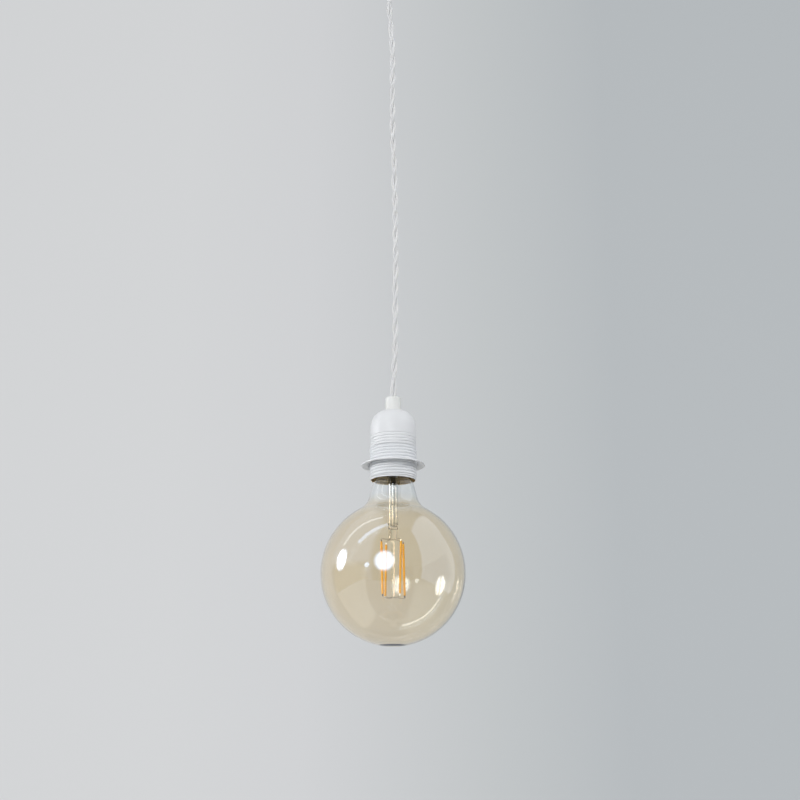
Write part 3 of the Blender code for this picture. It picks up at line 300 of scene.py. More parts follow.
def rounded(points, radius, steps=4):
    """The same open route with rounded corners."""
    result = [tuple(points[0])]
    for before, corner, after in zip(points, points[1:], points[2:]):
        corner = Vector(corner)
        ways = [Vector(before) - corner, Vector(after) - corner]
        reach = min(radius, *(way.length * 0.45 for way in ways))
        start, end = (corner + way.normalized() * reach for way in ways)
        result += bend(start, corner, end, steps)
    return result + [tuple(points[-1])]


def arc(centre, radii, start, end, steps):
    angles = [math.radians(start + (end - start) * k / steps) for k in range(steps + 1)]
    return [(centre[0] + radii[0] * math.cos(a), centre[1] + radii[1] * math.sin(a)) for a in angles]


def frames_along(points):
    """The points with a side and a third direction at each, free of spin."""
    points = np.array(points, dtype=float)
    tangents = np.gradient(points, axis=0)
    tangents /= np.linalg.norm(tangents, axis=1)[:, None]
    side = np.array([0.0, 1.0, 0.0] if abs(tangents[0][0]) > 0.9 else [1.0, 0.0, 0.0])
    sides = []
    for tangent in tangents:
        side = side - tangent * (side @ tangent)
        side = side / np.linalg.norm(side)
        sides.append(side)
    return points, np.array(sides), np.cross(tangents, sides)


def tube_grid(points, radius, columns, width=None):
    """Rings of points round a route, of one radius or one for each point."""
    points, side, third = frames_along(points)
    angles = np.arange(columns) * FULL / columns
    deep = np.broadcast_to(radius, len(points))[:, None, None]
    wide = deep if width is None else np.broadcast_to(width, len(points))[:, None, None]
    return (points[:, None, :] + wide * np.cos(angles)[None, :, None] * side[:, None, :]
            + deep * np.sin(angles)[None, :, None] * third[:, None, :])


def distances(points):
    """How far along a route each of its points is."""
    return np.concatenate([[0.0], np.cumsum(np.linalg.norm(np.diff(points, axis=0), axis=1))])


def smooth_route(route, pieces=16):
    """A smooth curve through a route's points."""
    route = [Vector(point) for point in route]
    ends = [2 * route[0] - route[1]] + route + [2 * route[-1] - route[-2]]
    dense = []
    for before, start, end, after in zip(ends, ends[1:], ends[2:], ends[3:]):
        for t in (k / pieces for k in range(pieces)):
            square = (2 * before - 5 * start + 4 * end - after) * t * t
            cube = (3 * start - before - 3 * end + after) * t ** 3
            dense.append(0.5 * (2 * start + (end - before) * t + square + cube))
    return dense + [route[-1]]


def even_route(points, step):
    """Points in even steps along a dense route."""
    travelled = distances(points)
    places = np.linspace(0.0, travelled[-1], round(travelled[-1] / step) + 1)
    return np.stack([np.interp(places, travelled, values) for values in np.array(points).T], axis=1)


def fade(value, start, end):
    """From nought to one, softly, as a value goes from start to end."""
    share = np.clip((value - start) / (end - start), 0.0, 1.0)
    return share * share * (3 - 2 * share)


def levels(node):
    """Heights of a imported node's lower and upper end."""
    low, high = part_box(node)
    return low.z, high.z


def stand_for(piece, node):
    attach(piece, "root")
    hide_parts(node)


# Material helpers

class Nodes:
    """A node tree and short ways to add nodes to it."""

    def __init__(self, tree):
        self.tree = tree

    def plug(self, socket, value):
        """Set a socket's value, or link another node's output to it."""
        if isinstance(value, bpy.types.NodeSocket):
            self.tree.links.new(value, socket)
        else:
            socket.default_value = value

    def node(self, kind, sockets=None, **settings):
        made = self.tree.nodes.new("ShaderNode" + kind)
        for key, value in settings.items():
            setattr(made, key, value)
        for key, value in (sockets or {}).items():
            self.plug(made.inputs[key], value)
        return made

    def math(self, operation, *values):
        return self.node("Math", dict(enumerate(values)), operation=operation).outputs[0]

    def times(self, product, *values):
        for value in values:
            product = self.math("MULTIPLY", product, value)
        return product

    def spread(self, value, low, high, start=0.0, end=1.0, kind="LINEAR"):
        """From low to high as a value goes from start to end."""
        sockets = dict(enumerate((value, start, end, low, high)))
        return self.node("MapRange", sockets, interpolation_type=kind).outputs[0]

    def step(self, value, start, end, low=0.0, high=1.0):
        return self.spread(value, low, high, start, end, "SMOOTHSTEP")

    def xyz(self, vector):
        return self.node("SeparateXYZ", {0: vector}).outputs

    def mixed(self, share, first, second):
        return self.node("MixShader", {0: share, 1: first, 2: second}).outputs[0]


class Surface(Nodes):
    """A Principled material."""

    def __init__(self, name, colour, roughness, metallic=0.0):
        self.material = bpy.data.materials.new(name)
        self.material.use_nodes = True
        super().__init__(self.material.node_tree)
        self.shader = self.tree.nodes["Principled BSDF"]
        self.set("Base Color", (*colour, 1.0))
        self.set("Roughness", roughness)
        self.set("Metallic", metallic)
        self.place = self.node("TexCoord").outputs["Object"]

    def set(self, socket, value):
        self.plug(self.shader.inputs[socket], value)

    def show(self, shader):
        self.plug(self.tree.nodes["Material Output"].inputs["Surface"], shader)

    def noise(self, scale, detail=3.0, roughness=0.5, upright=1.0):
        place = self.node("Mapping", {"Vector": self.place, "Scale": (1.0, 1.0, upright)}).outputs[0]
        sockets = {"Vector": place, "Scale": scale, "Detail": detail, "Roughness": roughness}
        return self.node("TexNoise", sockets).outputs["Fac"]

    def ramp(self, factor, *stops):
        made = self.node("ValToRGB", {"Fac": factor})
        elements = made.color_ramp.elements
        while len(elements) < len(stops):
            elements.new(0.5)
        for element, (position, colour) in zip(elements, stops):
            element.position = position
            element.color = (*colour, 1.0)
        return made.outputs["Color"]

    def mottle(self, factor, *stops):
        self.set("Base Color", self.ramp(factor, *stops))

    def sheen_between(self, factor, low, high):
        self.set("Roughness", self.spread(factor, low, high, 0.3, 0.7))

    def soften(self, weight, radius):
        self.set("Subsurface Weight", weight)
        self.set("Subsurface Radius", radius)
        self.set("Subsurface Scale", 1.0)

    def bump(self, height, distance, strength):
        sockets = {"Height": height, "Distance": distance, "Strength": strength}
        self.set("Normal", self.node("Bump", sockets).outputs[0])


def shifted(colour, share):
    return tuple(channel * (1 + share) for channel in colour)


def paint(name, colour=(0.8, 0.81, 0.83), rough=0.5, specular=0.5, painted_shade=None):
    """Stoved white paint: a faint orange peel, faint mottling of colour and gloss.

    The last argument gives distances from the axis where painted shade greys the paint most and where it ends,
    the share of the colour that is left there, and a height under which no shade is painted.
    """
    look = Surface(name, colour, rough)
    look.set("Specular IOR Level", specular)
    shade = look.ramp(look.noise(55.0, 4.0), (0.3, shifted(colour, -0.025)), (0.7, shifted(colour, 0.02)))
    if painted_shade is not None:
        deep, unshaded, level, height = painted_shade
        # Painted shade: the colour greys towards the axis, into the thread roots and at the ring's inner edge
        x, y, z = look.xyz(look.place)
        away = look.math("SQRT", look.math("MULTIPLY_ADD", y, y, look.times(x, x)))
        left = look.math("MAXIMUM", look.spread(away, level, 1.0, deep, unshaded),
                         look.spread(z, 1.0, 0.0, height, height + 0.0008))
        shade = look.node("VectorMath", {0: shade, "Scale": left}, operation="SCALE").outputs[0]
    look.set("Base Color", shade)
    look.sheen_between(look.noise(140.0), rough - 0.06, rough + 0.06)
    look.bump(look.noise(900.0, 2.0), 0.00003, 0.35)
    return look.material


def plastic(name, colour, rough=0.42):
    """Moulded plastic with a fine matt grain."""
    look = Surface(name, colour, rough)
    look.mottle(look.noise(70.0), (0.3, shifted(colour, -0.03)), (0.7, shifted(colour, 0.02)))
    look.sheen_between(look.noise(260.0, 2.0), rough - 0.07, rough + 0.07)
    look.soften(0.06, (0.002, 0.0018, 0.0015))
    look.bump(look.noise(1600.0, 2.0), 0.00003, 0.4)
    return look.material


def metal(name, colour, rough, upright=14.0, scale=260.0, tarnish=0.25):
    """Rolled or turned metal: fine marks and a slightly uneven sheen."""
    look = Surface(name, colour, rough, metallic=1.0)
    look.mottle(look.noise(90.0, 4.0), (0.25, shifted(colour, -tarnish)), (0.6, colour),
                (0.9, shifted(colour, 0.06)))
    marks = look.noise(scale, 4.0, 0.6, upright)
    look.sheen_between(marks, rough * 0.7, rough * 1.4)
    look.bump(marks, 0.00002, 0.4)
    return look.material


def bare_brass(name):
    """Dull brass inside the lower shell, darkened by lacquer and heat."""
    look = Surface(name, (0.6, 0.44, 0.22), 0.38, metallic=0.55)
    look.mottle(look.noise(120.0, 5.0, 0.65, 0.5), (0.3, (0.56, 0.36, 0.15)), (0.5, (0.8, 0.58, 0.28)),
                (0.75, (0.92, 0.74, 0.44)))
    look.sheen_between(look.noise(420.0, 3.0, 0.6, 10.0), 0.28, 0.5)
    look.bump(look.noise(700.0), 0.00003, 0.5)
    return look.material


def ceramic(name):
    """White glazed ceramic with a few small specks."""
    colour = (0.8, 0.79, 0.75)
    look = Surface(name, colour, 0.22)
    cells = look.node("TexVoronoi", {"Vector": look.place, "Scale": 700.0})
    specks = look.spread(cells.outputs["Distance"], 0.0, 1.0, 0.02, 0.1)
    look.mottle(specks, (0.0, (0.45, 0.42, 0.36)), (1.0, colour))
    look.sheen_between(look.noise(200.0), 0.15, 0.35)
    look.bump(look.noise(500.0), 0.00004, 0.4)
    return look.material


def glass(name, tint, amber=None, foot=None):
    """Glass: shadow rays pass it with a faint tint.

    amber is a height where the tint starts, one where it ends, and its colour; foot is the same
    for the thick smoky place at the globe's lowest point.
    """
    look = Surface(name, tint, 0.0)
    look.set("Transmission Weight", 1.0)
    look.set("IOR", 1.48)
    if amber is not None:
        height = look.xyz(look.place)["Z"]
        low, high, colour = amber
        share = look.spread(height, 0.0, 1.0, low, high)
        # The amber coating mirrors more than plain glass, and bluer
        coated, plain = (0.9, 1.25, 1.9, 1.0), (0.7, 0.68, 0.65, 1.0)
        mirror = look.node("Mix", {"Factor": share, 6: coated, 7: plain}, data_type="RGBA")
        look.set("Specular Tint", mirror.outputs[2])
        tinted = look.ramp(share, (0.0, colour), (1.0, tint))
        low, high, colour = foot
        smoke = look.ramp(look.spread(height, 0.0, 1.0, low, high), (0.0, colour), (1.0, (1.0, 1.0, 1.0)))
        both = look.node("Mix", {"Factor": 1.0, 6: tinted, 7: smoke}, data_type="RGBA", blend_type="MULTIPLY")
        look.set("Base Color", both.outputs[2])
        look.bump(look.noise(28.0, 1.0), 0.0002, 0.3)
    clear = look.node("BsdfTransparent", {"Color": (0.93, 0.92, 0.89, 1.0)}).outputs[0]
    shadow = look.node("LightPath").outputs["Is Shadow Ray"]
    look.show(look.mixed(shadow, look.shader.outputs[0], clear))
    return look.material


def braid(name):
    """White textile braid: yarns that pass over and under each other, with painted shade in the crevices between
    them.
    """
    colour = (0.81, 0.812, 0.815)
    look = Surface(name, colour, 0.85)
    place = look.xyz(look.node("UVMap", uv_map="surface").outputs[0])
    turn = look.times(place["X"], BRAID_YARNS * math.pi)
    run = look.times(place["Y"], BRAID_YARNS * math.pi)
    ways = look.math("ADD", turn, run), look.math("SUBTRACT", turn, run)
    waves = [look.math("SINE", way) for way in ways]
    over = look.math("GREATER_THAN", look.times(*waves), 0.0)
    under = look.math("SUBTRACT", 1.0, over)

    def on_top(first, second):
        return look.math("ADD", look.times(over, first), look.times(under, second))

    yarn = on_top(*(look.math("POWER", look.math("ABSOLUTE", wave), 0.6) for wave in waves))
    # Fine ends lying side by side in each yarn
    threads = on_top(*(look.math("SINE", look.times(way, 4.0)) for way in ways))
    fuzz = look.noise(4200.0, 3.0, 0.6)
    shade = look.times(look.math("MULTIPLY_ADD", fuzz, 0.25, yarn), 0.75)
    # Painted shade: the colour darkens where the yarn surface is low, in the crevices between yarns
    look.mottle(look.math("MULTIPLY_ADD", look.noise(60.0), 0.25, shade),
                (0.05, (0.44, 0.44, 0.44)), (0.45, shifted(colour, -0.1)), (0.85, colour))
    look.bump(look.math("MULTIPLY_ADD", threads, 0.1, look.math("MULTIPLY_ADD", fuzz, 0.3, yarn)), 0.00012, 0.8)
    look.set("Sheen Weight", 0.12)
    look.set("Sheen Roughness", 0.5)
    look.soften(0.12, (0.0016, 0.0015, 0.0013))
    return look.material


def phosphor(name):
    """Yellow-orange coating with fine grains."""
    colour = (0.7, 0.385, 0.036)
    look = Surface(name, colour, 0.5)
    grains = look.noise(2600.0)
    look.mottle(grains, (0.3, (0.64, 0.33, 0.024)), (0.6, colour), (0.8, (0.77, 0.47, 0.07)))
    look.soften(0.25, (0.002, 0.001, 0.0004))
    look.bump(grains, 0.00005, 0.5)
    return look.material


def circuit_board(name):
    """Brown resin-paper board with paler copper tracks."""
    look = Surface(name, (0.42, 0.29, 0.14), 0.4)
    bricks = look.node("TexBrick", {
        "Vector": look.place, "Scale": 260.0, "Mortar Size": 0.06, "Color1": (0.4, 0.27, 0.13, 1.0),
        "Color2": (0.48, 0.34, 0.17, 1.0), "Mortar": (0.66, 0.55, 0.34, 1.0)})
    look.set("Base Color", bricks.outputs["Color"])
    look.sheen_between(look.noise(300.0), 0.25, 0.45)
    look.bump(bricks.outputs["Fac"], 0.00004, 0.5)
    return look.material


# Cord

def cord_route():
    top = UPPER_GRIP_END - GAP
    bottom = LOWER_GRIP_END + GAP
    last = len(CORD_SWAY) - 1
    return [(sideways / 10000, forward / 10000, top + (bottom - top) * k / last)
            for k, (sideways, forward) in enumerate(CORD_SWAY)]


def braid_height(turn, run):
    """Height of the braid's surface, from nought to one, at a turn and a run in leads."""
    a = np.sin(BRAID_YARNS * math.pi * (turn + run))
    b = np.sin(BRAID_YARNS * math.pi * (turn - run))
    return np.where(a * b > 0, np.abs(a), np.abs(b))


def make_cord():
    """Two braided strands, twisted round each other."""
    centre = even_route(smooth_route(cord_route(), 24), 0.0004)
    centre[0] = cord_route()[0]
    points, side, third = frames_along(centre)
    lengths = distances(points)
    # The strands lie side by side in both grips, and the twist builds up over the first centimetres
    rest = lengths[-1] - lengths
    eased = lengths + TWIST_EASE * (np.exp(-lengths / TWIST_EASE) - np.exp(-rest / TWIST_EASE))
    eased = (eased - eased[0]) / (eased[-1] - eased[0])
    phase = FULL * TWIST_TURNS * eased + 0.25 * np.sin(FULL * 3 * eased)
    around = np.arange(STRAND_SIDES)[None, :] / STRAND_SIDES
    run = lengths[:, None] / BRAID_LEAD
    relief = STRAND_RADIUS + BRAID_RELIEF * (braid_height(around, run) - 0.6)
    across = (relief * np.cos(FULL * around))[:, :, None]
    along = (relief * np.sin(FULL * around))[:, :, None]
    grids = []
    for angle in (phase, phase + math.pi):
        strand = points + STRAND_OFFSET * (np.cos(angle)[:, None] * side + np.sin(angle)[:, None] * third)
        _, strand_side, strand_third = frames_along(strand)
        grids.append(strand[:, None, :] + across * strand_side[:, None, :] + along * strand_third[:, None, :])
    uvs = np.stack(np.broadcast_arrays(around, run), axis=2).reshape(-1, 2)
    piece = add_tubes("twisted_cord", grids, braid("cord_braid"), uvs=np.tile(uvs, (2, 1)))
    stand_for(piece, "cord")


# Holder

def make_grips():
    """Plastic sleeves with a soft edge and a screw hole at the back."""
    surface = plastic("grip_plastic", (0.79, 0.8, 0.785))
    outline = rounded([(NIPPLE_HOLE, 0), (GRIP_RADIUS, 0), (GRIP_RADIUS, GRIP_LENGTH), (GRIP_BORE, GRIP_LENGTH),
                       (GRIP_BORE, GRIP_SOCKET)], 0.0006, 6) + [(NIPPLE_HOLE, GRIP_SOCKET)]
    outline = fine(outline, 0.0006)
    for name, node, way in (("lower_grip", "lower_cord_grip", 1), ("upper_grip", "upper_cord_grip", -1)):
        base = levels(node)[0 if way == 1 else 1]
        piece = lathe(name, [(radius, base + way * rise) for radius, rise in outline], 96, [surface], sharp=50)
        height = base + way * (GRIP_LENGTH - GRIP_HOLE_INSET)
        drill(piece, GRIP_HOLE, 0.004, (0, GRIP_RADIUS, height), "X")
        stand_for(piece, node)


def make_ceiling_cup():
    """Spun sheet-metal cup, open at the ceiling, with holes for its side screws."""
    bottom, top = levels("ceiling_cup")
    corner = (CUP_RADIUS - CUP_EDGE, bottom + CUP_EDGE)
    inner = CUP_EDGE - CUP_WALL
    profile = [(CUP_RADIUS - 0.0002, top), (CUP_RADIUS, top - 0.0002)]
    profile += arc(corner, (CUP_EDGE, CUP_EDGE), 0, -90, 24)
    profile += [(NIPPLE_HOLE, bottom), (NIPPLE_HOLE, bottom + CUP_WALL)]
    profile += arc(corner, (inner, inner), -90, 0, 16) + [(CUP_RADIUS - CUP_WALL, top)]
    surface = paint("cup_paint_look", rough=0.62, specular=0.2)
    piece = lathe("cup_cover", fine(profile, 0.004), 128, [surface], sharp=50)
    drill(piece, SIDE_HOLE, CUP_RADIUS + CUP_EDGE, (0, 0, top - SIDE_SCREW_DROP), "Y")
    stand_for(piece, "ceiling_cup")


def make_dome():
    """Drawn dome with the fine lines of its rolled inner thread."""
    seam, top = levels("dome_cap")
    centre = (DOME_RADIUS - SHOULDER_WIDTH, top - SHOULDER_HEIGHT)
    outside = [(NIPPLE_HOLE, top)] + arc(centre, (SHOULDER_WIDTH, SHOULDER_HEIGHT), 90, 0, 40)
    outside += [(DOME_RADIUS, seam + DOME_EDGE), (DOME_RADIUS - DOME_EDGE, seam)]
    inside = [(DOME_RADIUS - DOME_WALL, seam)]
    inside += arc(centre, (SHOULDER_WIDTH - DOME_WALL, SHOULDER_HEIGHT - DOME_WALL), 0, 90, 30)
    inside += [(NIPPLE_HOLE, top - DOME_WALL)]
    outside = fine(outside, THREAD_ROW)

    def relief(row, angle, height):
        depth = top - height
        weight = fade(depth, DOME_LINES_TOP - 0.0008, DOME_LINES_TOP)
        weight = weight * (1 - fade(depth, 0.0326, DOME_LINES_END))
        phase = (height - seam) / THREAD_PITCH - angle / FULL + 0.45
        groove = 1 - fade(np.abs(phase % 1.0 - 0.5), 0.0, 0.19)
        return np.where(row < len(outside), -DOME_LINE_DEPTH * weight * groove, 0.0)

    piece = lathe("dome_cover", outside + fine(inside, 0.0012), 128, [paint("dome_paint")], relief, sharp=60)
    stand_for(piece, "dome_cap")


def make_lower_shell():
    """Shell with a true thread: painted outside, bare brass inside."""
    rim, collar_top = levels("threaded_shell")
    step = collar_top - COLLAR_LENGTH - GAP
    root = THREAD_CREST - THREAD_DEPTH
    bore = root - SHELL_WALL
    collar_inner = COLLAR_RADIUS - SHELL_WALL
    outside = fine([(COLLAR_RADIUS, collar_top), (COLLAR_RADIUS, step), (root, step)], 0.0008)
    outside += fine([(root + 0.0001, step - 0.00005), (root, rim + 0.0009)], 0.00018)[1:]
    outside += rounded([(root, rim + 0.0008), (root + 0.0001, rim + 0.0002), (root - 0.0003, rim),
                        (bore + 0.0001, rim + 0.0001), (bore, rim + 0.0008)], 0.0002)
    inside = fine([(bore, rim + 0.001), (bore, step - SHELL_WALL)], THREAD_ROW)
    inside += [(collar_inner, step - SHELL_WALL - 0.0003), (collar_inner, collar_top)]

    def relief(row, angle, height):
        drop = step - height
        phase = (height - step) / THREAD_PITCH - angle / FULL + 0.5
        # Rounded crests: one at a whole phase and nought half-way
        rise = THREAD_DEPTH * np.abs(np.cos(math.pi * phase)) ** 0.75 * fade(height - rim, 0.0012, 0.0024)
        # The band at the top is as wide as the crests
        band = THREAD_DEPTH * (1 - fade(drop, 0.0008, 0.0013))
        outer = np.maximum(fade(drop, 0.0003, 0.0011) * rise, band)
        inner = 0.45 * fade(drop, 0.0016, 0.003) * rise
        threaded = (drop > 0.00001) & (height > rim + 0.0009)
        return np.where(threaded, np.where(row < len(outside), outer, inner), 0.0)

    # The rim's last points are bare, like the inside
    painted = len(outside) - 4
    marks = [0] * painted + [1] * (4 + len(inside))
    # Painted shade greys the thread roots, above the rim
    # The shell's white is a little bluer than the dome's: painted cold light from below
    painting = paint("shell_paint", (0.8, 0.816, 0.845),
                     painted_shade=(root, THREAD_CREST - 0.0002, 0.75, rim + 0.001))
    surfaces = [painting, bare_brass("shell_inside")]
    piece = lathe("lower_shell", outside + inside, 144, surfaces, relief, marks, sharp=55)
    stand_for(piece, "threaded_shell")


def make_shade_ring():
    """Dished sheet-metal ring nut with slots round the threaded hole."""
    profile = rounded([(RING_LIP, RING_DISH), (RING_RADIUS - 0.001, 0.00032), (RING_RADIUS, 0.00005),
                       (RING_RADIUS, -RING_THICKNESS + 0.00005), (RING_RADIUS - 0.0009, -RING_THICKNESS),
                       (RING_LIP, RING_DISH - RING_THICKNESS)], 0.0004, 5)
    profile = [(radius, RING_PLANE + rise) for radius, rise in fine(profile, 0.0006)]
    radii = np.array(profile)[:, 0]

    def relief(row, angle, height):
        turned = (angle - RING_SLOT_TURN) * RING_SLOTS / FULL
        away = np.abs((turned + 0.5) % 1.0 - 0.5) * FULL / RING_SLOTS
        slot = 1 - fade(away, math.radians(2.6), math.radians(3.8))
        share = np.clip((RING_INNER + RING_SLOT_REACH - radii[row]) / RING_SLOT_REACH, 0.0, 1.0)
        return share * slot * RING_SLOT_REACH

    # Painted shade greys the ring's underside towards its inner edge, beside the shell
    painting = paint("ring_paint", (0.79, 0.805, 0.83), painted_shade=(RING_LIP, RING_LIP + 0.0025, 0.7, -1.0))
    piece = lathe("ring_nut", profile, 288, [painting], relief, sharp=50)
    # The nut leans a little in the play of its thread
    middle = Vector((0, 0, RING_PLANE))
    piece.data.transform(Matrix.Translation(middle + Vector((0, 0, RING_LIFT)))
                         @ Matrix.Rotation(RING_LEAN[0], 4, "X") @ Matrix.Rotation(RING_LEAN[1], 4, "Y")
                         @ Matrix.Translation(-middle))
    stand_for(piece, "shade_ring")


# Cap of the bulb

def cap_levels():
    """Heights between which the cap's thread runs."""
    top = levels("cap_shell")[1]
    return top, top - CAP_TURNS * CAP_PITCH


def cap_lathe(name, stretches, surface):
    """Spin an outline given in stretches; the second and the fourth follow the cap's rolled thread."""
    top, end = cap_levels()
    threaded = np.array([k in (1, 3) for k, stretch in enumerate(stretches) for _ in stretch])

    def relief(row, angle, height):
        wave = 0.5 + 0.5 * np.cos(FULL * ((height - top) / CAP_PITCH - angle / FULL + 0.5))
        weight = fade(top - height, 0.0, 0.0016) * fade(height - end, -0.0002, 0.0012)
        return np.where(threaded[row], CAP_THREAD_DEPTH * weight * wave, 0.0)

    return lathe(name, sum(stretches, []), 96, [surface], relief, sharp=50)


def make_cap():
    top, end = cap_levels()
    bottom = levels("cap_shell")[0]
    flare = end - (CAP_SKIRT_RADIUS - CAP_ROOT)
    skirt = rounded([(CAP_ROOT, end - 0.00005), (CAP_SKIRT_RADIUS, flare), (CAP_SKIRT_RADIUS, bottom)], 0.0005)
    skirt += [(CAP_SKIRT_RADIUS - CAP_SHEET, bottom), (CAP_SKIRT_RADIUS - CAP_SHEET, flare),
              (CAP_ROOT - CAP_SHEET, end)]
    inside = fine([(CAP_ROOT - CAP_SHEET, end + 0.0001), (CAP_ROOT - CAP_SHEET, top)], THREAD_ROW)
    surface = metal("cap_nickel", (0.66, 0.63, 0.57), 0.25, 8.0, 300.0, 0.15)
    thread = fine([(CAP_ROOT, top), (CAP_ROOT, end)], THREAD_ROW)
    piece = cap_lathe("bulb_cap", [[], thread, skirt, inside], surface)
    stand_for(piece, "cap_shell")


def make_screw_shell():
    low, plate = levels("screw_shell")
    top, end = cap_levels()
    sheet = SCREW_SHELL_SHEET
    fit = CAP_ROOT + GAP
    lip = CAP_SKIRT_RADIUS + GAP + sheet
    lip_top = end - (lip - fit)
    crest = CAP_CREST + GAP
    stretches = [
        [(CONTACT_OPENING, plate - sheet), (crest, plate - sheet)],
        fine([(fit, top), (fit, end)], 0.00025),
        [(lip, lip_top), (lip, low), (lip + sheet, low), (lip + sheet, lip_top)],
        fine([(fit + sheet, end), (fit + sheet, top)], 0.00025),
        [(crest + sheet, plate), (CONTACT_OPENING, plate)],
    ]
    surface = metal("screw_shell_brass", (0.62, 0.44, 0.17), 0.3, 8.0, 300.0)
    stand_for(cap_lathe("brass_screw_shell", stretches, surface), "screw_shell")


# Bulb

def glass_outline(inset):
    """One side of the globe from its lowest point to the neck's end, moved in by inset."""
    cap_bottom = levels("cap_shell")[0]
    neck_end = levels("bulb_glass")[1]
    radius = GLOBE_RADIUS - inset
    points = arc((0, GLOBE_CENTRE), (radius, radius), -90, 90 - math.degrees(NECK_ANGLE), 110)
    points[0] = (AXIS, points[0][1])
    leave = Vector(points[-1])
    heading = Vector((-math.cos(NECK_ANGLE), math.sin(NECK_ANGLE)))
    base_height = GLOBE_CENTRE + GLOBE_RADIUS + NECK_BASE_RISE
    base = Vector((NECK_BASE_RADIUS - inset, base_height))
    waist_height = base_height + NECK_WAIST_SHARE * (cap_bottom - base_height)
    waist = Vector((NECK_WAIST_RADIUS - inset, waist_height))
    side = (waist - base).normalized()
    corner = leave + heading * ((base - leave).cross(side) / heading.cross(side))
    points += bend(leave, corner, base, 24)[1:]
    seat_radius = CAP_SKIRT_RADIUS - CAP_SHEET - GAP - inset
    seat = Vector((seat_radius, cap_bottom))
    shoulder = (waist + 3 * seat) / 4 + Vector((0.0004, -0.0008))
    knots = [base, waist, shoulder, seat + Vector((0, 0.0004)), (seat_radius, neck_end)]
    curve = smooth_route([(x, 0.0, z) for x, z in knots], 12)
    return points + [(point.x, point.z) for point in curve[1:]]


def make_globe():
    """Glass globe of two skins, thicker at its lowest point."""
    inner = []
    for radius, height in glass_outline(GLASS_WALL):
        foot = 1 - float(fade(radius, 0.003, 0.011)) if height < GLOBE_CENTRE else 0.0
        inner.append((radius, height + FOOT_GLASS * foot))
    amber = (GLOBE_CENTRE + 0.056, GLOBE_CENTRE + 0.068, (0.99, 0.925, 0.8))
    bottom = GLOBE_CENTRE - GLOBE_RADIUS
    foot = (bottom + 0.0006, bottom + 0.0011, (1.0, 0.985, 0.88))
    surface = glass("amber_glass", (0.985, 0.998, 1.0), amber, foot)
    piece = lathe("glass_globe", glass_outline(0.0) + inner[::-1], 160, [surface], closed=False, sharp=0)
    stand_for(piece, "bulb_glass")


def make_stem():
    """Flared tube whose lower end is pinched flat round the lead-in wires."""
    low, high = levels("stem")
    inner = STEM_RADIUS - STEM_WALL
    flare = CAP_SKIRT_RADIUS - CAP_SHEET - GAP - GLASS_WALL - GAP - STEM_RADIUS
    tube_top = high - STEM_FLARE_LENGTH
    press_top = low + PRESS_LENGTH
    # Each oval is a half width, a half depth and a height
    ovals = [(PRESS_HALF_WIDTH * 0.86, PRESS_HALF_DEPTH * 0.7, low),
             (PRESS_HALF_WIDTH * 0.97, PRESS_HALF_DEPTH * 0.92, low + 0.0003)]
    first = len(ovals)
    for k in range(PRESS_ROWS):
        share = k / (PRESS_ROWS - 1)
        dents = 0.05 * math.sin(k * 0.93) + 0.03 * math.sin(k * 2.1 + 1.0)
        ovals.append((PRESS_HALF_WIDTH * (0.97 - 0.05 * math.sin(math.pi * share) + 0.5 * dents),
                      PRESS_HALF_DEPTH * (0.9 + dents), low + 0.0007 + (PRESS_LENGTH - 0.0021) * share))
    for k in range(1, 9):
        share = float(fade(k / 8, 0.0, 1.0))
        wide, deep = (half + (STEM_RADIUS - half) * share for half in (PRESS_HALF_WIDTH, PRESS_HALF_DEPTH))
        ovals.append((wide, deep, press_top - 0.0014 + 0.0028 * k / 8))
    shares = [k / 12 for k in range(1, 13)]
    bell = [(STEM_RADIUS + flare * share ** 2, tube_top + STEM_FLARE_LENGTH * share) for share in shares]
    outer, bore = ([(radius, foot + (tube_top - foot) * share) for share in shares]
                   for radius, foot in ((STEM_RADIUS, press_top + 0.0014), (inner, press_top + 0.0018)))
    circles = outer + bell + [(radius - STEM_WALL, height) for radius, height in bell[::-1]]
    circles += bore[::-1] + [(inner * 0.7, press_top + 0.0015)]
    ovals += [(radius, radius, height) for radius, height in circles]
    wide, deep, height = (np.array(values)[:, None] for values in zip(*ovals))
    angles = np.arange(64)[None, :] * FULL / 64
    # Marks of the pinching
    k = np.arange(len(ovals))[:, None] - first
    marked = 1 - 0.035 * (0.5 + 0.5 * np.sin(5 * angles + 0.7 * k) * np.sin(0.55 * k))
    marked = np.where((k >= 0) & (k < PRESS_ROWS), marked, 1.0)
    along = wide * marked * np.cos(angles)
    across = deep * marked * np.sin(angles)
    cos, sin = math.cos(FILAMENT_TURN), math.sin(FILAMENT_TURN)
    grid = np.stack([along * cos - across * sin, along * sin + across * cos, height + 0 * angles], axis=2)
    stand_for(add_tubes("glass_stem", [grid], glass("stem_glass", (0.99, 0.995, 0.99))), "stem")


def make_rod_and_exhaust():
    low, high = levels("exhaust_tube")
    # Melted shut from the holder's rim up
    shut = levels("threaded_shell")[0] - 0.001
    bore = EXHAUST_BORE
    outline = fine([(bore, low + 0.0002), (EXHAUST_RADIUS, low), (EXHAUST_RADIUS, high - 0.0006), (0.0006, high),
                    (AXIS, high), (AXIS, shut), (bore * 0.5, shut - 0.0003), (bore, shut - 0.0012),
                    (bore, low + 0.0002)], 0.001)[:-1]
    surface = glass("exhaust_glass_look", (0.985, 0.99, 0.985))
    stand_for(lathe("exhaust_glass", outline, 32, [surface]), "exhaust_tube")
    low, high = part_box("support_rod")
    radius = (high.x - low.x) / 2
    outline = rounded([(AXIS, high.z), (radius, high.z), (radius, low.z), (AXIS, low.z)], 0.0006, 6)
    surface = glass("rod_glass", (0.985, 0.99, 0.98))
    piece = lathe("glass_rod", fine(outline, 0.0015), 32, [surface], closed=False, sharp=0)
    stand_for(piece, "support_rod")


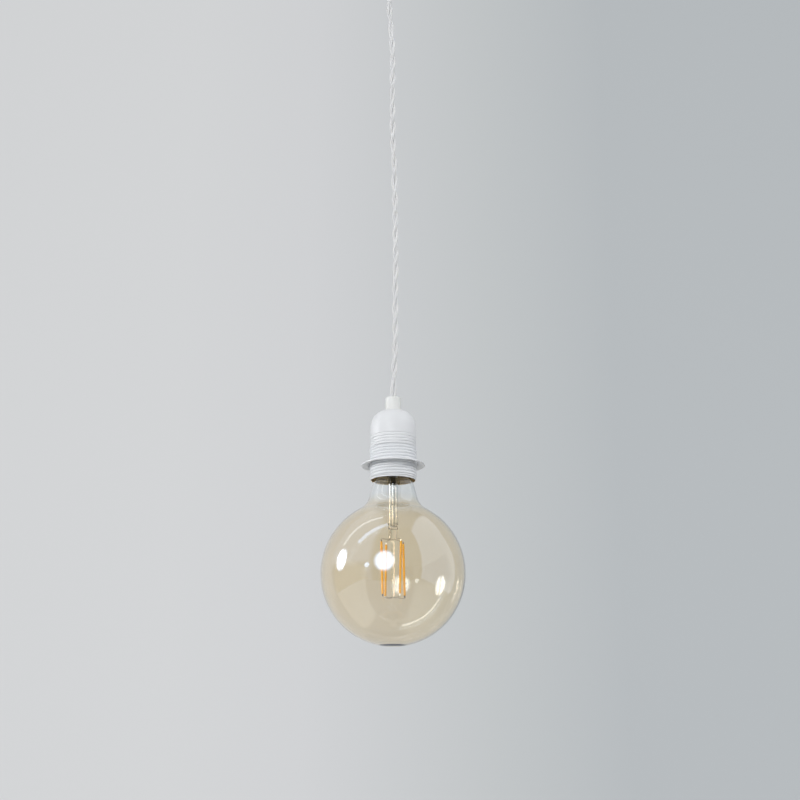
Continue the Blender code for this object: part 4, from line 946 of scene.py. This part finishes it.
def filament_ends():
    """Top and bottom of each filament's tabs."""
    ends = []
    for k, lean in enumerate(FILAMENT_LEANS):
        angle = FILAMENT_TURN + k * math.pi / 2
        foot = Vector((FILAMENT_CIRCLE * math.cos(angle), FILAMENT_CIRCLE * math.sin(angle), 0))
        ends.append((foot + Vector((-lean / 2, 0, FILAMENT_TOP + TAB_REACH)),
                     foot + Vector((lean / 2, 0, FILAMENT_TOP - FILAMENT_LENGTH - TAB_REACH))))
    return ends


def make_filaments():
    """Coated strips: a rounded bar with a flat metal tab at each end."""
    sides = 20
    coating = phosphor("phosphor_coating")
    pale = metal("tab_silver", (0.85, 0.85, 0.83), 0.35, 4.0, 600.0, 0.1)
    dark = metal("tab_iron", (0.16, 0.15, 0.15), 0.45, 4.0, 600.0, 0.2)
    names = (("back_right", dark), ("back_left", pale), ("front_left", dark), ("front_right", pale))
    for (name, tab), (top, bottom) in zip(names, filament_ends()):
        middle = np.array((top + bottom) / 2)
        axis = np.array((top - bottom).normalized())
        half = (top - bottom).length / 2 - TAB_REACH
        ends = np.array([0.0, 0.0001, 0.0003, 0.0007])
        rows = np.concatenate([ends - half, np.linspace(-half + 0.0015, half - 0.0015, 40), half - ends[::-1]])
        near = np.minimum(1.0, (half - np.abs(rows)) / 0.0008 + 0.12)
        swell = np.sqrt(np.maximum(0.0, 1 - (1 - near) ** 2))
        radii = FILAMENT_RADIUS * swell * (1 + 0.025 * np.sin(rows * 900 + 2 * top.x * 1000))
        grids = [tube_grid(middle + rows[:, None] * axis, radii, sides)]
        stations = np.array([half - 0.0004, half + 0.0002, half + TAB_REACH * 0.75, half + TAB_REACH])
        widths = np.array([0.00055, 0.00055, 0.0005, 0.00034])
        for way in (1, -1):
            grids.append(tube_grid(middle + way * stations[:, None] * axis, 0.00018, 12, widths))
        verts, faces = joined(grids)
        coated = (len(rows) - 1) * sides + 2
        indices = [0] * coated + [1] * (len(faces) - coated)
        piece = add_mesh("lit_strip_" + name, verts, faces, [coating, tab], indices, sharp=50)
        stand_for(piece, "filament_" + name)


def make_wires():
    """Lead-in and link wires, smoothly bent."""
    surface = metal("wire_metal", (0.6, 0.56, 0.51), 0.3, 1.0, 900.0, 0.3)
    ends = filament_ends()
    top = FILAMENT_TOP + TAB_REACH + GAP + WIRE_RADIUS
    bottom = FILAMENT_TOP - FILAMENT_LENGTH - TAB_REACH - GAP - WIRE_RADIUS
    back_right, back_left, front_left, front_right = (Vector((end[0].x, end[0].y, top)) for end in ends)
    board = levels("lead_in_left")[1]
    turn = Vector((math.cos(FILAMENT_TURN), math.sin(FILAMENT_TURN)))

    def wire(name, route, node):
        grid = tube_grid(rounded(route, 0.0008, 6), WIRE_RADIUS, 12)
        stand_for(add_tubes(name, [grid], surface, sharp=50), node)

    for name, side, end in (("right", 1, back_right), ("left", -1, front_left)):
        x, y = turn * side * LEAD_IN_OFFSET
        steps = ((1, board), (1, board - 0.03), (1, top + 0.004), (1, top + 0.0006),
                 (1.12, top + 0.00012), (1.5, top))
        route = [(x * share, y * share, height) for share, height in steps]
        wire("lead_in_wire_" + name, route + [end], "lead_in_" + name)
    bypass = Vector((*(turn * -0.002), top))
    along = Vector((-turn.y, turn.x, 0)) * -0.0021
    wire("top_link_wire", [back_left, bypass - along, bypass + along, front_right], "top_link")
    for name, first, second in (("left", 2, 1), ("right", 0, 3)):
        first, second = (Vector((ends[k][1].x, ends[k][1].y, bottom)) for k in (first, second))
        apex = (first + second).xy.normalized() * 0.00065
        wire("bottom_link_wire_" + name, [first, (*apex, bottom), second], "bottom_link_" + name)


# Carried-over parts

def dress_nodes():
    """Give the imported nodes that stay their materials."""
    looks = {
        "zinc_steel": metal("zinc_steel_look", (0.6, 0.6, 0.59), 0.32, tarnish=0.05),
        "brass": metal("brass_look", (0.66, 0.47, 0.19), 0.3),
        "block_plastic": plastic("block_plastic_look", (0.8, 0.8, 0.77)),
        "ceramic": ceramic("ceramic_look"),
        "live_cover": plastic("live_cover_look", (0.26, 0.13, 0.07), 0.5),
        "neutral_cover": plastic("neutral_cover_look", (0.08, 0.18, 0.5), 0.5),
        "black_glass": plastic("black_glass_look", (0.025, 0.025, 0.03), 0.2),
        "contact_tin": metal("contact_tin_look", (0.62, 0.61, 0.58), 0.4),
        "board_resin": circuit_board("board_look"),
        "capacitor_sleeve": plastic("sleeve_look", (0.24, 0.17, 0.1), 0.35),
    }
    for entry in frame["record"]["subparts"]:
        packed = bpy.data.objects.get(entry["node"])
        look = looks.get(entry["material_slot"])
        if packed is not None and look is not None:
            for holder in packed.material_slots:
                holder.material = look


# Studio

def make_backdrop():
    """Floor and wall in one pale sheet, joined by a wide curve; the wall glows with painted light."""
    floor, wall, curve, half = -1.95, 1.75, 0.45, 4.0
    outline = [(-3.5, floor)] + arc((wall - curve, floor + curve), (curve, curve), -90, 0, 15) + [(wall, 2.6)]
    verts = [(x, y, z) for y, z in outline for x in (-half, half)]
    faces = [(2 * k, 2 * k + 1, 2 * k + 3, 2 * k + 2) for k in range(len(outline) - 1)]
    look = Surface("backdrop", (0.72, 0.73, 0.74), 0.9)
    look.mottle(look.noise(1.2, 2.0), (0.3, (0.71, 0.72, 0.735)), (0.7, (0.73, 0.74, 0.75)))
    place = look.xyz(look.place)
    # Painted light: the wall's glow falls off slowly from its lit left side
    colour = look.ramp(look.spread(place["X"], 0.0, 1.0, -0.5, 0.5), (0.0, (0.69, 0.7, 0.71)),
                       (0.3, (0.665, 0.675, 0.69)), (0.7, (0.555, 0.58, 0.59)), (1.0, (0.48, 0.51, 0.53)))
    glow = look.node("Emission", {"Color": colour, "Strength": 1.0}).outputs[0]
    path = look.node("LightPath").outputs
    seen = look.math("MAXIMUM", look.math("MAXIMUM", path["Is Camera Ray"], path["Is Glossy Ray"]),
                     path["Is Transmission Ray"])
    # The floor keeps more of its own shading, with the object's shadow
    share = look.times(seen, look.spread(place["Z"], 0.4, 0.85, -1.9, -1.2))
    look.show(look.mixed(share, look.shader.outputs[0], glow))
    piece = add_mesh("backdrop", verts, faces, [look.material], sharp=0)


def make_world():
    """A level for matt surfaces, one for what is seen, one for what is mirrored."""
    world = bpy.context.scene.world or bpy.data.worlds.new("studio")
    bpy.context.scene.world = world
    world.use_nodes = True
    sky = Nodes(world.node_tree)
    sky.tree.nodes.clear()
    x, y, height = sky.xyz(sky.node("TexCoord").outputs["Generated"])
    path = sky.node("LightPath").outputs

    def background(level, colour):
        return sky.node("Background", {"Color": (*colour, 1.0), "Strength": level}).outputs[0]

    def within(*edges):
        """One inside soft edges; each edge is a value, where it starts and where it ends."""
        return sky.times(*(sky.step(*edge) for edge in edges))

    # Turn from the photographed side: nought in front, positive to the right
    turn = sky.math("ARCTAN2", x, sky.times(y, -1.0))
    # Light on matt surfaces: even from the sides and above, little from below
    ambient = background(sky.step(height, -0.5, 0.1, 0.14, 0.43), (0.96, 0.985, 1.0))
    # What is seen straight or through the glass past the backdrop: a pale band between darker ends
    band = sky.math("SUBTRACT", 0.68, sky.times(path["Is Camera Ray"], 0.24))
    ends = within((height, -0.92, -0.5), (height, 0.75, 0.45))
    plain = background(sky.math("ADD", sky.times(ends, band), 0.17), (0.98, 0.99, 1.0))
    # What is mirrored: pale room walls, brighter to the right, and a dark part round the viewer
    front = within((turn, -0.75, -0.5), (turn, 0.84, 0.77), (height, -0.9, -0.45), (height, 0.98, 0.9))
    top = within((x, -0.3, -0.1), (x, 0.42, 0.36), (height, 0.6, 0.8), (y, 0.8, 0.5))
    left = within((turn, -2.15, -1.75), (turn, -0.5, -0.95), (height, -0.8, -0.3), (height, 0.28, 0.06))
    dark = sky.math("MAXIMUM", sky.math("MAXIMUM", sky.times(front, 0.92), sky.times(top, 0.8)), left)
    walls = sky.times(sky.step(turn, 0.7, 0.82, 0.92, 1.15), sky.step(height, -1.0, 0.3, 0.95, 1.0))
    mirrored = background(sky.times(walls, sky.math("SUBTRACT", 1.0, dark)), (0.98, 0.99, 1.0))
    reflected = sky.math("GREATER_THAN", path["Glossy Depth"], 0.5)
    clear = sky.mixed(reflected, plain, mirrored)
    sky.node("OutputWorld", {"Surface": sky.mixed(path["Is Diffuse Ray"], clear, ambient)})


def area_light(name, direction, distance, size, radiance, shape="RECTANGLE", glossy=False, through=False):
    """A flat lamp that faces the bulb; what isn't made for mirrors or clear glass lights matt surfaces."""
    data = bpy.data.lights.new(name, "AREA")
    data.shape = shape
    data.size, data.size_y = size
    data.energy = radiance * size[0] * size[1] * (math.pi if shape == "RECTANGLE" else math.pi ** 2 / 4)
    lamp = bpy.data.objects.new(name, data)
    bpy.context.collection.objects.link(lamp)
    way = Vector(direction).normalized()
    lamp.location = Vector((0, 0, GLOBE_CENTRE)) + way * distance
    lamp.rotation_euler = way.to_track_quat("Z", "Y").to_euler()
    lamp.visible_camera = False
    lamp.visible_diffuse = not (glossy or through)
    lamp.visible_glossy = glossy
    lamp.visible_transmission = through
    return lamp


def round_light(name, direction, distance, wide, tall, radiance):
    """A round lamp; its width and height are angles in degrees as the bulb sees them."""
    size = [2 * distance * math.tan(math.radians(angle) / 2) for angle in (wide, tall)]
    return area_light(name, direction, distance, size, radiance, "ELLIPSE", True, True)


def soft_edge(lamp, inner, bar=0.0):
    """Fade a round lamp's face to its edge, from a share of its radius on; bar dims a middle stripe."""
    lamp.data.use_nodes = True
    face = Nodes(lamp.data.node_tree)
    place = face.node("NewGeometry").outputs["Parametric"]
    away = face.node("VectorMath", {0: place, 1: (0.5, 0.5, 0.0)}, operation="DISTANCE").outputs["Value"]
    stripe = face.math("COMPARE", face.xyz(place)["X"], 0.5, 0.07)
    level = face.times(face.step(away, inner / 2, 0.5, 1.0, 0.0), face.math("MULTIPLY_ADD", stripe, -bar, 1.0))
    face.plug(face.tree.nodes["Emission"].inputs["Strength"], level)


def strip_light(name, first, last, width, glossy):
    """A narrow lamp between two directions; only mirrors see it, or only clear glass."""
    first, last = Vector(first).normalized(), Vector(last).normalized()
    size = ((last - first).length * 1.2, width)
    lamp = area_light(name, first + last, 1.2, size, 3.4, glossy=glossy, through=not glossy)
    way = (first + last).normalized()
    along = (last - first).normalized()
    lamp.rotation_euler = Matrix((along, way.cross(along), way)).transposed().to_euler()


def make_lights():
    # Long soft lamps that light the paint and the fabric, out of the glass's reflections
    width = 0.25
    for name, direction, distance, length, radiance in (
            ("key", (-0.46, -0.84, 0.28), 1.6, 1.1, 2.65), ("fill", (0.8, -0.4, 0.6), 1.6, 1.1, 2.25),
            ("side", (-0.95, 0.05, 0.3), 1.6, 0.9, 2.35), ("floor_light", (0.0, 0.05, -1.0), 1.2, 1.2, 0.6)):
        area_light(name, direction, distance, (length, width), radiance * length / width)
    # Lamps that show as bright shapes in the glass
    soft_edge(round_light("umbrella", (-0.221, -0.956, 0.188), 1.5, 36, 36, 7.5), 0.58)
    soft_edge(round_light("left_window", (-0.968, -0.03, 0.251), 1.3, 24, 28, 13.0), 0.5, bar=0.6)
    round_light("small_lamp", (-0.641, -0.761, 0.0965), 1.4, 7, 7, 4.0)
    # Two ceiling strips: one shows on the globe's near side, the other on its far side
    strip_light("near_strip", (-0.74, -0.36, 0.56), (-0.08, -0.31, 0.94), 0.13, glossy=True)
    strip_light("far_strip", (-0.89, 0.08, 0.44), (-0.12, 0.0, 0.99), 0.085, glossy=False)


make_camera()
make_cord()
make_grips()
make_ceiling_cup()
make_dome()
make_lower_shell()
make_shade_ring()
make_cap()
make_screw_shell()
make_globe()
make_stem()
make_rod_and_exhaust()
make_filaments()
make_wires()
dress_nodes()
make_backdrop()
make_world()
make_lights()

bpy.context.scene.view_settings.view_transform = "Standard"
